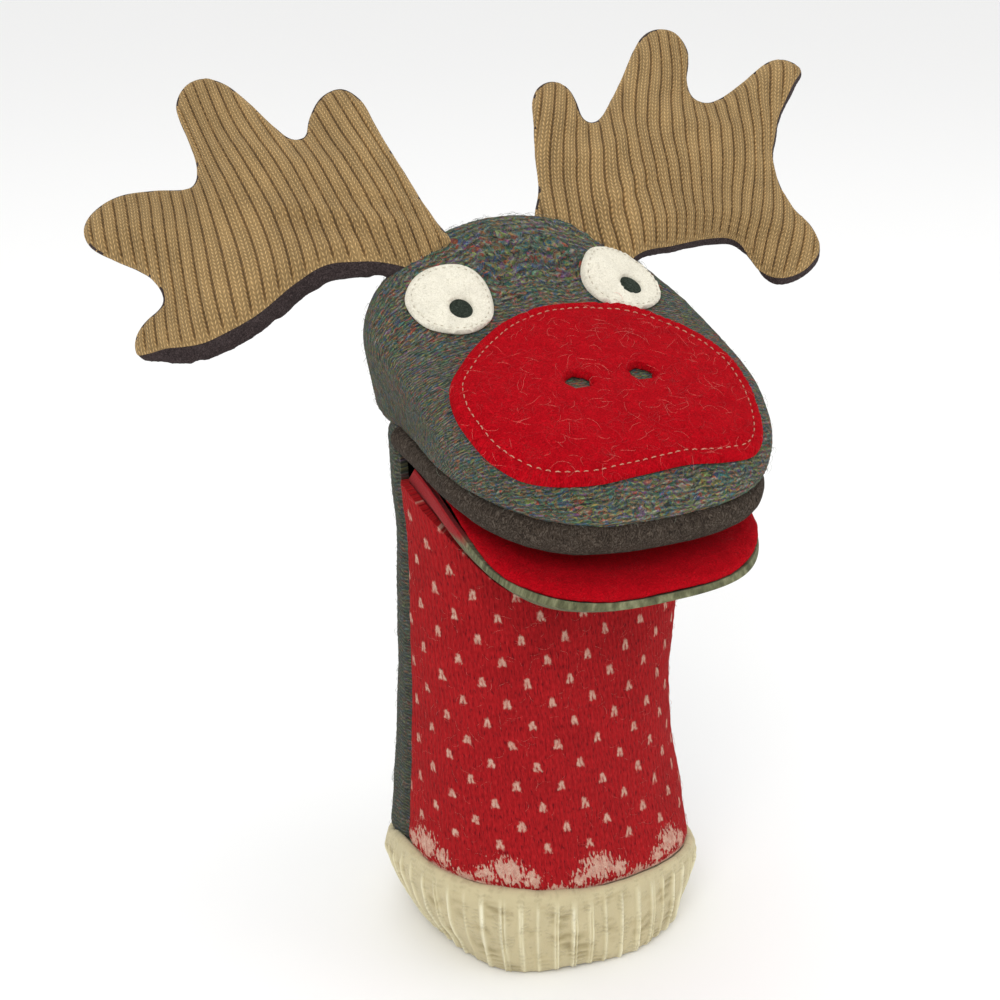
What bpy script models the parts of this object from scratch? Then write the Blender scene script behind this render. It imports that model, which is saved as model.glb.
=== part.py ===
"""Felted moose hand puppet: a knitted sleeve with a ribbed cuff, a hollow head with a
mouth that opens, two felt eyes, a nose patch and two stuffed antlers.

Frame: metres, +Z up.  The puppet faces -Y.  The origin is the middle of the whole
puppet's footprint, on the plane the cuff rests on.  The dimensions below are measured
from the middle of the cuff's opening, which PUPPET_PLACE puts in that frame.
"""
import math

import bpy
from mathutils import Matrix, Vector

# ---------------------------------------------------------------- driving dimensions
PUPPET_PLACE = (-0.00437, -0.01574, 0.0)   # the middle of the cuff's opening
GAP = 0.0003                # between neighbouring pieces
DRAPE_GAP = 0.0008          # between a flat piece of felt and the cloth under it

# Sleeve: half width (X) and half depth (Y) at heights from the cuff to the neck.
CUFF_HEIGHT = 0.024
CUFF_WALL = 0.004
SLEEVE_WALL = 0.003
SLEEVE_POWER = 2.4          # exponent of the superelliptic section, 2 is an ellipse
SLEEVE_SECTIONS = (         # height, half width, half depth, centre's Y
    (0.000, 0.0430, 0.0370, 0.0000),
    (0.014, 0.0500, 0.0430, 0.0005),
    (0.024, 0.0505, 0.0435, 0.0010),
    (0.040, 0.0490, 0.0420, 0.0020),
    (0.070, 0.0470, 0.0400, 0.0030),
    (0.106, 0.0460, 0.0385, 0.0040),
    (0.135, 0.0460, 0.0380, 0.0045),
    (0.173, 0.0485, 0.0385, 0.0045),
)
TWIST_CUT = 0.054           # heights where the sleeve is cut between its moving bodies
TILT_CUT = 0.080
THROAT_HEIGHT = 0.123       # top of the front panel, in the middle under the jaw
THROAT_CORNER_HEIGHT = 0.154
NECK_HEIGHT = 0.1715        # top of the back panel, where the head begins

# Mouth: the plan outline of a lip is half of a superellipse about its fold.
LIP_POWER = 3.0
UPPER_LIP = dict(half_width=0.0515, reach=0.0770, fold_y=0.0035, corner_z=0.1725, front_z=0.1610)
LOWER_LIP = dict(half_width=0.0510, reach=0.0750, fold_y=0.0015, corner_z=0.1646, front_z=0.1435)
LINING_THICKNESS = 0.005
CHIN_SAG = 0.004
CHIN_GAP = 0.0014           # between the lining and the chin's cloth, where they meet
STIFFENER_THICKNESS = 0.0015
STIFFENER_INSET = 0.0060
LOWER_STIFFENER_INSET = 0.0300
UPPER_LINING_DROP = 0.0016  # below the lip's edge, clear of the cloth's thickness

# Head: a dome that rises from the lip and the nape to the crown, steeply over the brow.
HEAD_WALL = 0.003
CROWN = (0.0, 0.0270, 0.2280)
HEAD_BACK_REACH = 0.0390    # behind the mouth's fold, at the nape
# Meridians of the left half, by bearing from the crown (-90 is the snout, 90 the nape).
# Each point is its distance from the crown and its height, as shares of the rim's.
HEAD_MERIDIANS = (
    (-90, ((1, 0), (1.005, .08), (.955, .17), (.82, .32), (.62, .475), (.31, .65), (.19, .77),
           (.09, .93), (0, 1))),
    (-60, ((1, 0), (1.03, .09), (1.02, .21), (.86, .37), (.65, .48), (.35, .645), (.225, .765),
           (.107, .93), (0, 1))),
    (-38, ((1, 0), (1.05, .13), (1.08, .28), (1.02, .40), (.83, .51), (.58, .67), (.38, .81),
           (.18, .94), (0, 1))),
    (-22, ((1, 0), (1.04, .15), (1.08, .31), (1.06, .455), (.94, .57), (.71, .71), (.46, .84),
           (.21, .955), (0, 1))),
    (0, ((1, 0), (1.05, .165), (1.09, .35), (1.07, .51), (.98, .655), (.80, .80), (.54, .915),
         (.25, .98), (0, 1))),
    (90, ((1, 0), (1.09, .165), (1.15, .35), (1.15, .53), (1.06, .69), (.84, .83), (.55, .93),
          (.25, .985), (0, 1))),
)

# Eyes, with the hole for the pupil towards the lower right in both.
EYE_POINT = (0.0295, 0.0044, 0.2098)
EYE_NORMAL = (0.155, -0.725, 0.670)
EYE_RADIUS = 0.0132
EYE_FELT = 0.0018
PUPIL_RADIUS = 0.0031
PUPIL_OFFSET = (0.0020, -0.0026)
STITCH_INSET = 0.0014
THREAD_WIDTH = 0.0008
STITCH_GAP = 0.0004
OUTLINE_STEPS = 44

# Nose patch: an oval laid over the snout.
NOSE_CENTRE = (0.0, -0.0376, 0.1930)
NOSE_HALF_WIDTH = 0.0478
NOSE_HALF_LENGTH = 0.0367
NOSE_POWERS = (1.9, 2.7)        # towards the brow, and towards the lip
NOSE_FELT = 0.0022
NOSE_GAP = 0.0014           # the patch bridges the snout's curve
NOSE_TILT = math.radians(26)
NOSTRIL_RADIUS = 0.0034
NOSTRIL = (0.0106, -0.0383)     # x and y of the left one
NOSE_STITCH_INSET = 0.0034

# Antlers: the outline in the plane of the sheet, x from the inner to the outer end of the
# base, y away from the head.  Each entry is x, y, and for a rounded tine its radius and the
# direction it points in, in degrees; a radius of 0 is a single point of the edge.
ANTLER_SHELL = 0.0025
ANTLER_STUFFING = 0.0045
ANTLER_BASE_CLEARANCE = 0.0055      # from the line of the seam on the head
ANTLER_BASES = {"left": (-0.0190, 0.0335), "right": (-0.0145, 0.0165)}
ANTLER_EDGES = {
    "left": ((-0.0230, 0.0145, 0, 0), (-0.0250, 0.0425, 0.0060, 105), (-0.0124, 0.0393, 0, 0),
             (0.0062, 0.0795, 0.0090, 82), (0.0238, 0.0650, 0, 0),
             (0.0498, 0.0880, 0.0063, 68), (0.0534, 0.0560, 0, 0),
             (0.0690, 0.0238, 0.0060, 25), (0.0625, 0.0105, 0.0060, -75),
             (0.0470, 0.0112, 0, 0)),
    "right": ((-0.0224, 0.0233, 0, 0), (-0.0264, 0.0498, 0.0069, 118), (-0.0100, 0.0523, 0, 0),
              (-0.0012, 0.0863, 0.0090, 96), (0.0242, 0.0678, 0, 0),
              (0.0532, 0.0764, 0.0080, 48), (0.0576, 0.0540, 0, 0),
              (0.0706, 0.0378, 0.0058, 12), (0.0580, 0.0213, 0, 0), (0.0406, 0.0166, 0, 0)),
}
# Where each antler stands: inner and outer end of its base, and the tip of its top tine.
ANTLER_PLACES = {
    "left": ((0.0175, 0.0345, 0.2265), (0.0455, 0.0190, 0.2150), (0.0782, 0.0673, 0.2719)),
    "right": ((-0.0190, 0.0310, 0.2300), (-0.0445, 0.0255, 0.2125), (-0.0722, 0.0930, 0.2560)),
}

# Joints
TURN_POINT = (0.0, 0.0025, TWIST_CUT)
TILT_POINT = (0.0, 0.0035, TILT_CUT)
NOD_POINT = (0.0, 0.0050, 0.1500)
JAW_POINT = (0.0, 0.0020, 0.1652)

# Colours (linear RGB) and roughness of the cloths
CLOTHS = {
    "cream_rib": ((0.66, 0.60, 0.38), 0.95),
    "red_knit": ((0.37, 0.016, 0.018), 0.95),
    "charcoal_knit": ((0.085, 0.095, 0.090), 0.95),
    "heather_knit": ((0.105, 0.125, 0.105), 0.95),
    "brown_felt": ((0.065, 0.045, 0.032), 0.97),
    "red_felt": ((0.52, 0.008, 0.014), 0.93),
    "olive_knit": ((0.17, 0.165, 0.085), 0.95),
    "ivory_felt": ((0.82, 0.76, 0.62), 0.92),
    "black_felt": ((0.012, 0.018, 0.012), 0.97),
    "cream_thread": ((0.80, 0.66, 0.55), 0.60),
    "camel_rib": ((0.40, 0.235, 0.085), 0.95),
    "dark_felt": ((0.045, 0.030, 0.028), 0.97),
    "buckram": ((0.70, 0.66, 0.56), 0.80),
    "wadding": ((0.85, 0.85, 0.83), 0.95),
}

SIDES = (("left", 1), ("right", -1))    # the puppet's own left is +X

# ---------------------------------------------------------------- scene helpers


def clear_scene():
    for item in list(bpy.data.objects):
        bpy.data.objects.remove(item, do_unlink=True)


def new_collection(name):
    collection = bpy.data.collections.new(name)
    bpy.context.scene.collection.children.link(collection)
    return collection


def cloth(name):
    """The Principled material of one cloth."""
    material = bpy.data.materials.get(name)
    if material is None:
        colour, roughness = CLOTHS[name]
        material = bpy.data.materials.new(name)
        material.use_nodes = True
        shader = material.node_tree.nodes["Principled BSDF"]
        shader.inputs["Base Color"].default_value = (*colour, 1.0)
        shader.inputs["Roughness"].default_value = roughness
        shader.inputs["Metallic"].default_value = 0.0
        material.diffuse_color = (*colour, 1.0)
    return material


def axis_empty(name, matrix, parent=None):
    """An empty on a joint's axis, which its body's pieces are parented to."""
    empty = bpy.data.objects.new(name, None)
    empty.empty_display_size = 0.02
    PUPPET.objects.link(empty)
    empty.matrix_world = matrix
    if parent is not None:
        empty.parent = parent
        empty.matrix_parent_inverse = parent.matrix_world.inverted()
    bpy.context.view_layer.update()
    return empty


def attach(piece, empty):
    """Parent a piece to a joint's empty without moving it."""
    if empty is not None:
        piece.parent = empty
        piece.matrix_parent_inverse = empty.matrix_world.inverted()
    return piece


def sheet(name, rows, material, thickness, side, wrap=False):
    """A cloth sheet: a grid of points given row by row, thickened by Solidify.

    A row of one point is a pole.  side is -1 for thickness behind the surface and +1 for
    thickness in front of it, where the surface faces the viewer who sees the points of a
    row run counter-clockwise below the next row.
    """
    vertices, index = [], []
    for row in rows:
        index.append(list(range(len(vertices), len(vertices) + len(row))))
        vertices.extend(row)
    faces = []
    for lower, upper in zip(index, index[1:]):
        count = max(len(lower), len(upper))
        for i in range(count if wrap else count - 1):
            j = (i + 1) % count
            if len(upper) == 1:
                faces.append((lower[i], lower[j], upper[0]))
            elif len(lower) == 1:
                faces.append((lower[0], upper[j], upper[i]))
            else:
                faces.append((lower[i], lower[j], upper[j], upper[i]))
    mesh = bpy.data.meshes.new(name)
    mesh.from_pydata([tuple(v) for v in vertices], [], faces)
    mesh.shade_smooth()
    mesh.materials.append(cloth(material))
    piece = bpy.data.objects.new(name, mesh)
    PUPPET.objects.link(piece)
    solidify = piece.modifiers.new("thickness", "SOLIDIFY")
    solidify.thickness = thickness
    solidify.offset = side
    solidify.use_even_offset = True
    return piece


# ---------------------------------------------------------------- curves and surfaces


def superellipse(half_x, half_y, power, angle):
    """A point of a superellipse, at an angle from +X towards +Y."""
    cosine, sine = math.cos(angle), math.sin(angle)
    x = half_x * math.copysign(abs(cosine) ** (2 / power), cosine)
    y = half_y * math.copysign(abs(sine) ** (2 / power), sine)
    return x, y


def sleeve_size(height):
    """Half width, half depth and centre's Y of the sleeve, between the listed sections."""
    for low, high in zip(SLEEVE_SECTIONS, SLEEVE_SECTIONS[1:]):
        if height <= high[0]:
            share = (height - low[0]) / (high[0] - low[0])
            return tuple(a + (b - a) * share for a, b in zip(low[1:], high[1:]))
    return SLEEVE_SECTIONS[-1][1:]


def sleeve_point(angle, height, inset=0.0):
    half_width, half_depth, centre_y = sleeve_size(height)
    x, y = superellipse(half_width - inset, half_depth - inset, SLEEVE_POWER, angle)
    return Vector((x, centre_y + y, height))


def lip_point(lip, angle, share=1.0):
    """A point on a mouth plate: angle from pi to 2 pi runs round the lip, share 0 is the fold."""
    x, y = superellipse(lip["half_width"], lip["reach"], LIP_POWER, angle)
    x, y = x * share, y * share
    slope = (lip["front_z"] - lip["corner_z"]) / lip["reach"]
    return Vector((x, lip["fold_y"] + y, lip["corner_z"] - slope * y))


def head_rim(angle):
    """The lower edge of the head: the upper lip in front, the nape behind."""
    if math.sin(angle) < 0:
        return lip_point(UPPER_LIP, angle)
    x, y = superellipse(UPPER_LIP["half_width"], HEAD_BACK_REACH, SLEEVE_POWER, angle)
    return Vector((x, UPPER_LIP["fold_y"] + y, UPPER_LIP["corner_z"]))


def spline(knots, values, x, flat_ends=False):
    """A smooth curve through vectors at increasing knots, read at x."""
    def slope(i):
        if flat_ends and i in (0, len(knots) - 1):
            return values[0] * 0
        before, after = max(i - 1, 0), min(i + 1, len(knots) - 1)
        return (values[after] - values[before]) / (knots[after] - knots[before])

    span = max(i for i in range(len(knots) - 1) if i == 0 or knots[i] <= x)
    width = knots[span + 1] - knots[span]
    t = (x - knots[span]) / width
    return (values[span] * (2 * t ** 3 - 3 * t * t + 1)
            + slope(span) * width * (t ** 3 - 2 * t * t + t)
            + values[span + 1] * (3 * t * t - 2 * t ** 3)
            + slope(span + 1) * width * (t ** 3 - t * t))


def head_meridian(bearing):
    """The profile from rim to crown at one bearing, blended between the listed ones."""
    bearings = [entry[0] for entry in HEAD_MERIDIANS]
    profiles = [entry[1] for entry in HEAD_MERIDIANS]
    bearing = min(max(bearing, bearings[0]), bearings[-1])
    return [spline(bearings, [Vector(profile[i]) for profile in profiles], bearing, True)
            for i in range(len(profiles[0]))]


def head_row(angle, rises):
    """Points of the head up one meridian: rises run from 0 at the rim to 1 at the crown."""
    rim = head_rim(angle)
    bearing = math.degrees(math.atan2(rim.y - CROWN[1], abs(rim.x)))
    profile = head_meridian(bearing)
    knots = list(range(len(profile)))
    points = []
    for rise in rises:
        spread, height = spline(knots, profile, rise * knots[-1])
        points.append(Vector((rim.x * spread, CROWN[1] + (rim.y - CROWN[1]) * spread,
                              rim.z + (CROWN[2] - rim.z) * height)))
    return points


def throat_height(angle):
    """Top edge of the front panel: high at the mouth's corners, low under the jaw."""
    return THROAT_HEIGHT + (THROAT_CORNER_HEIGHT - THROAT_HEIGHT) * abs(math.cos(angle)) ** 3


def angles(start, end, count):
    return [start + (end - start) * i / count for i in range(count + 1)]


# ---------------------------------------------------------------- sleeve


def cuff():
    """The ribbed cuff: a band with a flat bottom rim, drawn in towards the opening."""
    turns = angles(0, 2 * math.pi, 36)[:-1]
    heights = [(CUFF_HEIGHT - GAP) * i / 5 for i in range(6)]
    outer = [[sleeve_point(a, z) for a in turns] for z in heights]
    inner = [[sleeve_point(a, z, CUFF_WALL) for a in turns] for z in reversed(heights)]
    loops = outer + inner
    vertices = [tuple(point) for loop in loops for point in loop]
    count, faces = len(turns), []
    for row in range(len(loops)):
        above = (row + 1) % len(loops)
        for i in range(count):
            j = (i + 1) % count
            faces.append((row * count + i, row * count + j, above * count + j, above * count + i))
    mesh = bpy.data.meshes.new("cuff_band")
    mesh.from_pydata(vertices, [], faces)
    mesh.shade_smooth()
    mesh.set_sharp_from_angle(angle=math.radians(50))
    mesh.materials.append(cloth("cream_rib"))
    PUPPET.objects.link(bpy.data.objects.new("cuff_band", mesh))


def sleeve_panel(name, material, front, low, high_at):
    """One stretch of the front or back panel, between the side seams."""
    start = math.pi if front else 0.0
    seam = GAP / SLEEVE_SECTIONS[0][2]
    turns = angles(start + seam, start + math.pi - seam, 18)
    rows = []
    for i in range(6):
        rows.append([sleeve_point(a, low + (high_at(a) - low) * i / 5) for a in turns])
    return sheet(name, rows, material, SLEEVE_WALL, -1)


def sleeve_panels(turn_empty, tilt_empty):
    def level(height):
        return lambda angle: height

    cuts = (
        ("lower", CUFF_HEIGHT + GAP, level(TWIST_CUT - GAP), level(TWIST_CUT - GAP), None),
        ("middle", TWIST_CUT, level(TILT_CUT - GAP), level(TILT_CUT - GAP), turn_empty),
        ("upper", TILT_CUT, throat_height, level(NECK_HEIGHT), tilt_empty),
    )
    for place, low, front_top, back_top, empty in cuts:
        attach(sleeve_panel("front_panel_" + place, "red_knit", True, low, front_top), empty)
        attach(sleeve_panel("back_panel_" + place, "charcoal_knit", False, low, back_top), empty)


# ---------------------------------------------------------------- head and mouth


def head_top():
    turns = angles(0, 2 * math.pi, 40)[:-1]
    meridians = [head_row(a, [i / 14 for i in range(14)]) for a in turns]
    rows = [list(row) for row in zip(*meridians)]
    rows.append([Vector(CROWN)])
    return sheet("head_top_panel", rows, "heather_knit", HEAD_WALL, -1, wrap=True)


def mouth_plate(name, material, lip, drop, thickness, inset=0.0):
    """A felt plate inside a lip: a half disc with its straight edge at the fold."""
    turns = angles(math.pi, 2 * math.pi, 22)
    scale = 1 - inset / lip["reach"]
    down = Vector((0, 0, -drop))
    rows = [[lip_point(lip, 1.5 * math.pi, 0.0) + down]]
    for share in (0.25, 0.5, 0.75, 1.0):
        rows.append([lip_point(lip, a, share * scale) + down for a in turns])
    return sheet(name, rows, material, thickness, 1)


def jaw_underside():
    """The knitted chin: from the lower lip, under the jaw, back to the throat."""
    turns = angles(math.pi + 0.03, 2 * math.pi - 0.03, 22)
    lip_drop = Vector((0, 0, -(LINING_THICKNESS + CHIN_GAP + SLEEVE_WALL)))
    sag = Vector((0, 0, -CHIN_SAG))
    rows = []
    for i in range(6):
        share = 1 - i / 5
        row = []
        for a in turns:
            lip = lip_point(LOWER_LIP, a, 0.995) + lip_drop
            throat = sleeve_point(a, throat_height(a) + GAP)
            bend = (lip + throat) / 2 + sag * abs(math.sin(a))
            row.append(lip * (1 - share) ** 2 + bend * 2 * share * (1 - share) + throat * share ** 2)
        rows.append(row)
    return sheet("jaw_underside_panel", rows, "olive_knit", SLEEVE_WALL, -1)


# ---------------------------------------------------------------- felt laid on the head


def felt_frame(point, normal):
    """A frame 20 mm above the cloth, with +Z away from it and +X level."""
    z = Vector(normal).normalized()
    x = Vector((0, 0, 1)).cross(z).normalized()
    y = z.cross(x)
    rotation = Matrix((x, y, z)).transposed().to_4x4()
    return Matrix.Translation(Vector(point) + z * 0.02) @ rotation


def draped(name, rows, material, thickness, frame, target, gap, wrap=True):
    """A flat sheet, drawn in its own frame, dropped onto the cloth below it."""
    piece = sheet(name, rows, material, thickness, 1, wrap=wrap)
    piece.matrix_world = frame
    wrap_modifier = piece.modifiers.new("drape", "SHRINKWRAP")
    wrap_modifier.target = target
    wrap_modifier.wrap_method = "PROJECT"
    wrap_modifier.use_project_z = True
    wrap_modifier.use_negative_direction = True
    wrap_modifier.use_positive_direction = False
    wrap_modifier.offset = gap
    piece.modifiers.move(1, 0)
    return piece


def ring_rows(outer, inner, steps, count):
    """Rows from an outer outline to an inner one, both functions of an angle."""
    turns = angles(0, 2 * math.pi, count)[:-1]
    return [[outer(a).lerp(inner(a), i / steps) for a in turns] for i in range(steps + 1)]


def circle(radius, centre=(0.0, 0.0)):
    return lambda a: Vector((centre[0] + radius * math.cos(a), centre[1] + radius * math.sin(a), 0))


def disc_rows(outline, shares):
    """Rows that shrink an outline to its centre, the last one a single point."""
    turns = angles(0, 2 * math.pi, OUTLINE_STEPS)[:-1]
    rows = [[outline(a) * share for a in turns] for share in shares]
    return rows + [[Vector((0, 0, 0))]]


def eye(side, sign, head, nod):
    """A felt disc with a punched hole, the dark felt in the hole, and the stitching."""
    frame = felt_frame((EYE_POINT[0] * sign, EYE_POINT[1], EYE_POINT[2]),
                       (EYE_NORMAL[0] * sign, EYE_NORMAL[1], EYE_NORMAL[2]))
    hole = circle(PUPIL_RADIUS + GAP, PUPIL_OFFSET)
    white = draped("eye_white_" + side, ring_rows(circle(EYE_RADIUS), hole, 4, 28),
                   "ivory_felt", EYE_FELT, frame, head, DRAPE_GAP)
    rows = ring_rows(circle(PUPIL_RADIUS - GAP, PUPIL_OFFSET), circle(0.0, PUPIL_OFFSET), 2, 14)
    rows[-1] = rows[-1][:1]
    pupil = draped("pupil_" + side, rows, "black_felt", EYE_FELT / 2, frame, head, DRAPE_GAP)
    seam = EYE_RADIUS - STITCH_INSET
    stitch_rows = ring_rows(circle(seam), circle(seam - THREAD_WIDTH), 1, 36)
    stitch = draped("eye_stitching_" + side, stitch_rows, "cream_thread", THREAD_WIDTH / 2,
                    frame, white, STITCH_GAP)
    for piece in (white, pupil, stitch):
        attach(piece, nod)


def nose_outline(inset):
    def outline(a):
        power = NOSE_POWERS[0] if math.sin(a) > 0 else NOSE_POWERS[1]
        x, y = superellipse(NOSE_HALF_WIDTH - inset, NOSE_HALF_LENGTH - inset, power, a)
        return Vector((x, y, 0))
    return outline


def nostril_cutter(side, sign, frame):
    """A punch through the nose patch, square to it."""
    bpy.ops.mesh.primitive_cylinder_add(vertices=18, radius=NOSTRIL_RADIUS, depth=0.06)
    cutter = bpy.context.object
    cutter.name = "nostril_punch_" + side
    for collection in list(cutter.users_collection):
        collection.objects.unlink(cutter)
    CUTTERS.objects.link(cutter)
    along = (NOSTRIL[1] - NOSE_CENTRE[1]) / math.cos(NOSE_TILT)
    cutter.matrix_world = frame @ Matrix.Translation((NOSTRIL[0] * sign, along, -0.02))
    cutter.hide_render = True
    cutter.display_type = "WIRE"
    return cutter


def nose(head, nod):
    """The felt patch over the snout, with two punched nostrils and its topstitching."""
    frame = felt_frame(NOSE_CENTRE, (0, -math.sin(NOSE_TILT), math.cos(NOSE_TILT)))
    shares = (1.0, 0.9, 0.78, 0.66, 0.54, 0.42, 0.30, 0.18, 0.08)
    patch = draped("nose_patch", disc_rows(nose_outline(0), shares), "red_felt", NOSE_FELT,
                   frame, head, NOSE_GAP)
    for side, sign in SIDES:
        punch = patch.modifiers.new("nostril_" + side, "BOOLEAN")
        punch.operation = "DIFFERENCE"
        punch.object = nostril_cutter(side, sign, frame)
    seam_rows = ring_rows(nose_outline(NOSE_STITCH_INSET),
                          nose_outline(NOSE_STITCH_INSET + THREAD_WIDTH), 1, 64)
    seam = draped("nose_topstitch", seam_rows, "cream_thread", THREAD_WIDTH / 2,
                  frame, patch, STITCH_GAP)
    attach(patch, nod)
    attach(seam, nod)


# ---------------------------------------------------------------- antlers


def antler_outline(side):
    """Points round the antler: three for each rounded tine, one anywhere else."""
    inner, outer = ANTLER_BASES[side]
    points = [((inner, ANTLER_BASE_CLEARANCE), "VECTOR")]
    for x, y, radius, degrees in ANTLER_EDGES[side]:
        for turn in (90, 0, -90) if radius else (0,):
            direction = math.radians(degrees + turn)
            point = (x + radius * math.cos(direction), y + radius * math.sin(direction))
            points.append((point, "AUTO"))
    return points + [((outer, ANTLER_BASE_CLEARANCE), "VECTOR")]


def antler_layer(part, material, side, mirror, low, high, empty):
    """One flat layer of an antler, between two heights over the plane of its base."""
    name = f"antler_{part}_{side}"
    curve = bpy.data.curves.new(name, "CURVE")
    curve.dimensions = "2D"
    curve.fill_mode = "BOTH"
    curve.resolution_u = 3
    curve.extrude = (high - low) / 2
    outline = curve.splines.new("BEZIER")
    points = antler_outline(side)
    outline.bezier_points.add(len(points) - 1)
    outline.use_cyclic_u = True
    for bezier, ((x, y), handle) in zip(outline.bezier_points, points):
        bezier.co = (x * mirror, y, 0)
        bezier.handle_left_type = handle
        bezier.handle_right_type = handle
    curve.materials.append(cloth(material))
    layer = bpy.data.objects.new(name, curve)
    PUPPET.objects.link(layer)
    layer.parent = empty
    layer.location = (0, 0, (low + high) / 2)
    weld = layer.modifiers.new("weld", "WELD")
    weld.merge_threshold = 0.00001


def antler_frame(side):
    """Local X along the base, Y away from the head, Z out of the antler's front."""
    inner, outer, tip = (Vector(point) for point in ANTLER_PLACES[side])
    along = (outer - inner).normalized()
    away = tip - inner
    away = (away - along * away.dot(along)).normalized()
    if side == "right":
        along = -along
    front = along.cross(away)
    rotation = Matrix((along, away, front)).transposed().to_4x4()
    return Matrix.Translation((inner + outer) / 2) @ rotation


def antler(side, mirror, nod):
    empty = axis_empty("antler_axis_" + side, antler_frame(side), nod)
    half = ANTLER_STUFFING / 2
    shell = half + GAP + ANTLER_SHELL
    antler_layer("stuffing", "wadding", side, mirror, -half, half, empty)
    antler_layer("front", "camel_rib", side, mirror, half + GAP, shell, empty)
    antler_layer("back", "dark_felt", side, mirror, -shell, -half - GAP, empty)


# ---------------------------------------------------------------- the puppet


def build():
    turn = axis_empty("neck_turn_axis", Matrix.Translation(TURN_POINT))
    tilt = axis_empty("neck_tilt_axis", Matrix.Translation(TILT_POINT), turn)
    nod = axis_empty("neck_nod_axis", Matrix.Translation(NOD_POINT), tilt)
    jaw = axis_empty("jaw_axis", Matrix.Translation(JAW_POINT), nod)

    cuff()
    sleeve_panels(turn, tilt)
    head = head_top()
    attach(head, nod)
    attach(mouth_plate("upper_mouth_lining", "brown_felt", UPPER_LIP,
                       UPPER_LINING_DROP, LINING_THICKNESS), nod)
    attach(mouth_plate("upper_mouth_stiffener", "buckram", UPPER_LIP,
                       -(STIFFENER_THICKNESS + GAP), STIFFENER_THICKNESS, STIFFENER_INSET), nod)
    attach(mouth_plate("lower_mouth_lining", "red_felt", LOWER_LIP, 0.0, LINING_THICKNESS), jaw)
    attach(mouth_plate("lower_mouth_stiffener", "buckram", LOWER_LIP, LINING_THICKNESS + GAP,
                       STIFFENER_THICKNESS, LOWER_STIFFENER_INSET), jaw)
    attach(jaw_underside(), jaw)
    for side, sign in SIDES:
        eye(side, sign, head, nod)
    nose(head, nod)
    for side, sign in SIDES:
        antler(side, sign, nod)


def place():
    """Hang everything on one empty, and put the middle of the cuff's opening in its place."""
    root = axis_empty("puppet_place", Matrix.Identity(4))
    for item in [*PUPPET.objects, *CUTTERS.objects]:
        if item.parent is None and item is not root:
            attach(item, root)
    root.location = PUPPET_PLACE


clear_scene()
PUPPET = new_collection("sock_puppet")
CUTTERS = new_collection("cutters")
build()
place()
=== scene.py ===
"""The look of the felted moose hand puppet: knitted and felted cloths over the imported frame.

Every surface is worked out in the puppet's own frame, whose origin is the middle of the
cuff's opening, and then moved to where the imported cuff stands.  Metres, +Z up, facing -Y.
"""
import math
import random

import bmesh
import bpy
import numpy as np
from mathutils import Matrix, Vector, noise
from mathutils.bvhtree import BVHTree
from mathutils.geometry import delaunay_2d_cdt


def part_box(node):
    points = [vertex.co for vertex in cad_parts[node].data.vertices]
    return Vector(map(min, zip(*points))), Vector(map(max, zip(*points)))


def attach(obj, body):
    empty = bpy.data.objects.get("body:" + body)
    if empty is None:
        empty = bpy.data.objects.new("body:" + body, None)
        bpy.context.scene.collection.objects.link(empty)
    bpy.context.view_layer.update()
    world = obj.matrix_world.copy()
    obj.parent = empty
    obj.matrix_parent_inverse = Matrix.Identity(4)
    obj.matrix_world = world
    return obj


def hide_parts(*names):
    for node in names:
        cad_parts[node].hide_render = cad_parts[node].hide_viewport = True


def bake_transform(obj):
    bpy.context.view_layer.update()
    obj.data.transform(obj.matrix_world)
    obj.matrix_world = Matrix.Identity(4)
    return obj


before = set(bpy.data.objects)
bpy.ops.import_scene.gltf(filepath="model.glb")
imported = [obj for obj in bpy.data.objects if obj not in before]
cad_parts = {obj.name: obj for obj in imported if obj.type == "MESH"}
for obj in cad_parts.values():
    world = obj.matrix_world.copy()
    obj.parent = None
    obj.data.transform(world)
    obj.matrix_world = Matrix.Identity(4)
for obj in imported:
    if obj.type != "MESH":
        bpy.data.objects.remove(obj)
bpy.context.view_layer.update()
MM = 0.001
TURN = 2 * math.pi

# ---------------------------------------------------------------- dimensions

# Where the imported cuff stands: the sleeve leans back a little at the cuff's widest level.
CUFF_LOW, CUFF_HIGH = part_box("cuff_band")
CUFF_LEAN = 0.0010
PLACE = np.array(((CUFF_LOW.x + CUFF_HIGH.x) / 2, (CUFF_LOW.y + CUFF_HIGH.y) / 2 - CUFF_LEAN,
                  CUFF_LOW.z))

# Sleeve: height, half width, half depth and the centre's Y of each section.
SLEEVE_SECTIONS = np.array((
    (0.000, 0.0430, 0.0370, 0.0000),
    (0.014, 0.0500, 0.0430, 0.0005),
    (0.024, 0.0505, 0.0435, 0.0010),
    (0.040, 0.0490, 0.0420, 0.0020),
    (0.070, 0.0470, 0.0400, 0.0030),
    (0.106, 0.0460, 0.0385, 0.0040),
    (0.135, 0.0460, 0.0380, 0.0045),
    (0.173, 0.0485, 0.0385, 0.0045),
))
SLEEVE_POWER = 2.4
CLOTH_THICKNESS = 0.0026
TWIST_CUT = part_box("front_panel_middle")[0].z
TILT_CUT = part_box("front_panel_upper")[0].z
NECK_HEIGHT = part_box("back_panel_upper")[1].z
THROAT_HEIGHT = 0.123
THROAT_CORNER_HEIGHT = 0.1560
NECK_TUCK = 0.009               # how far the back panel runs up inside the head
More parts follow.
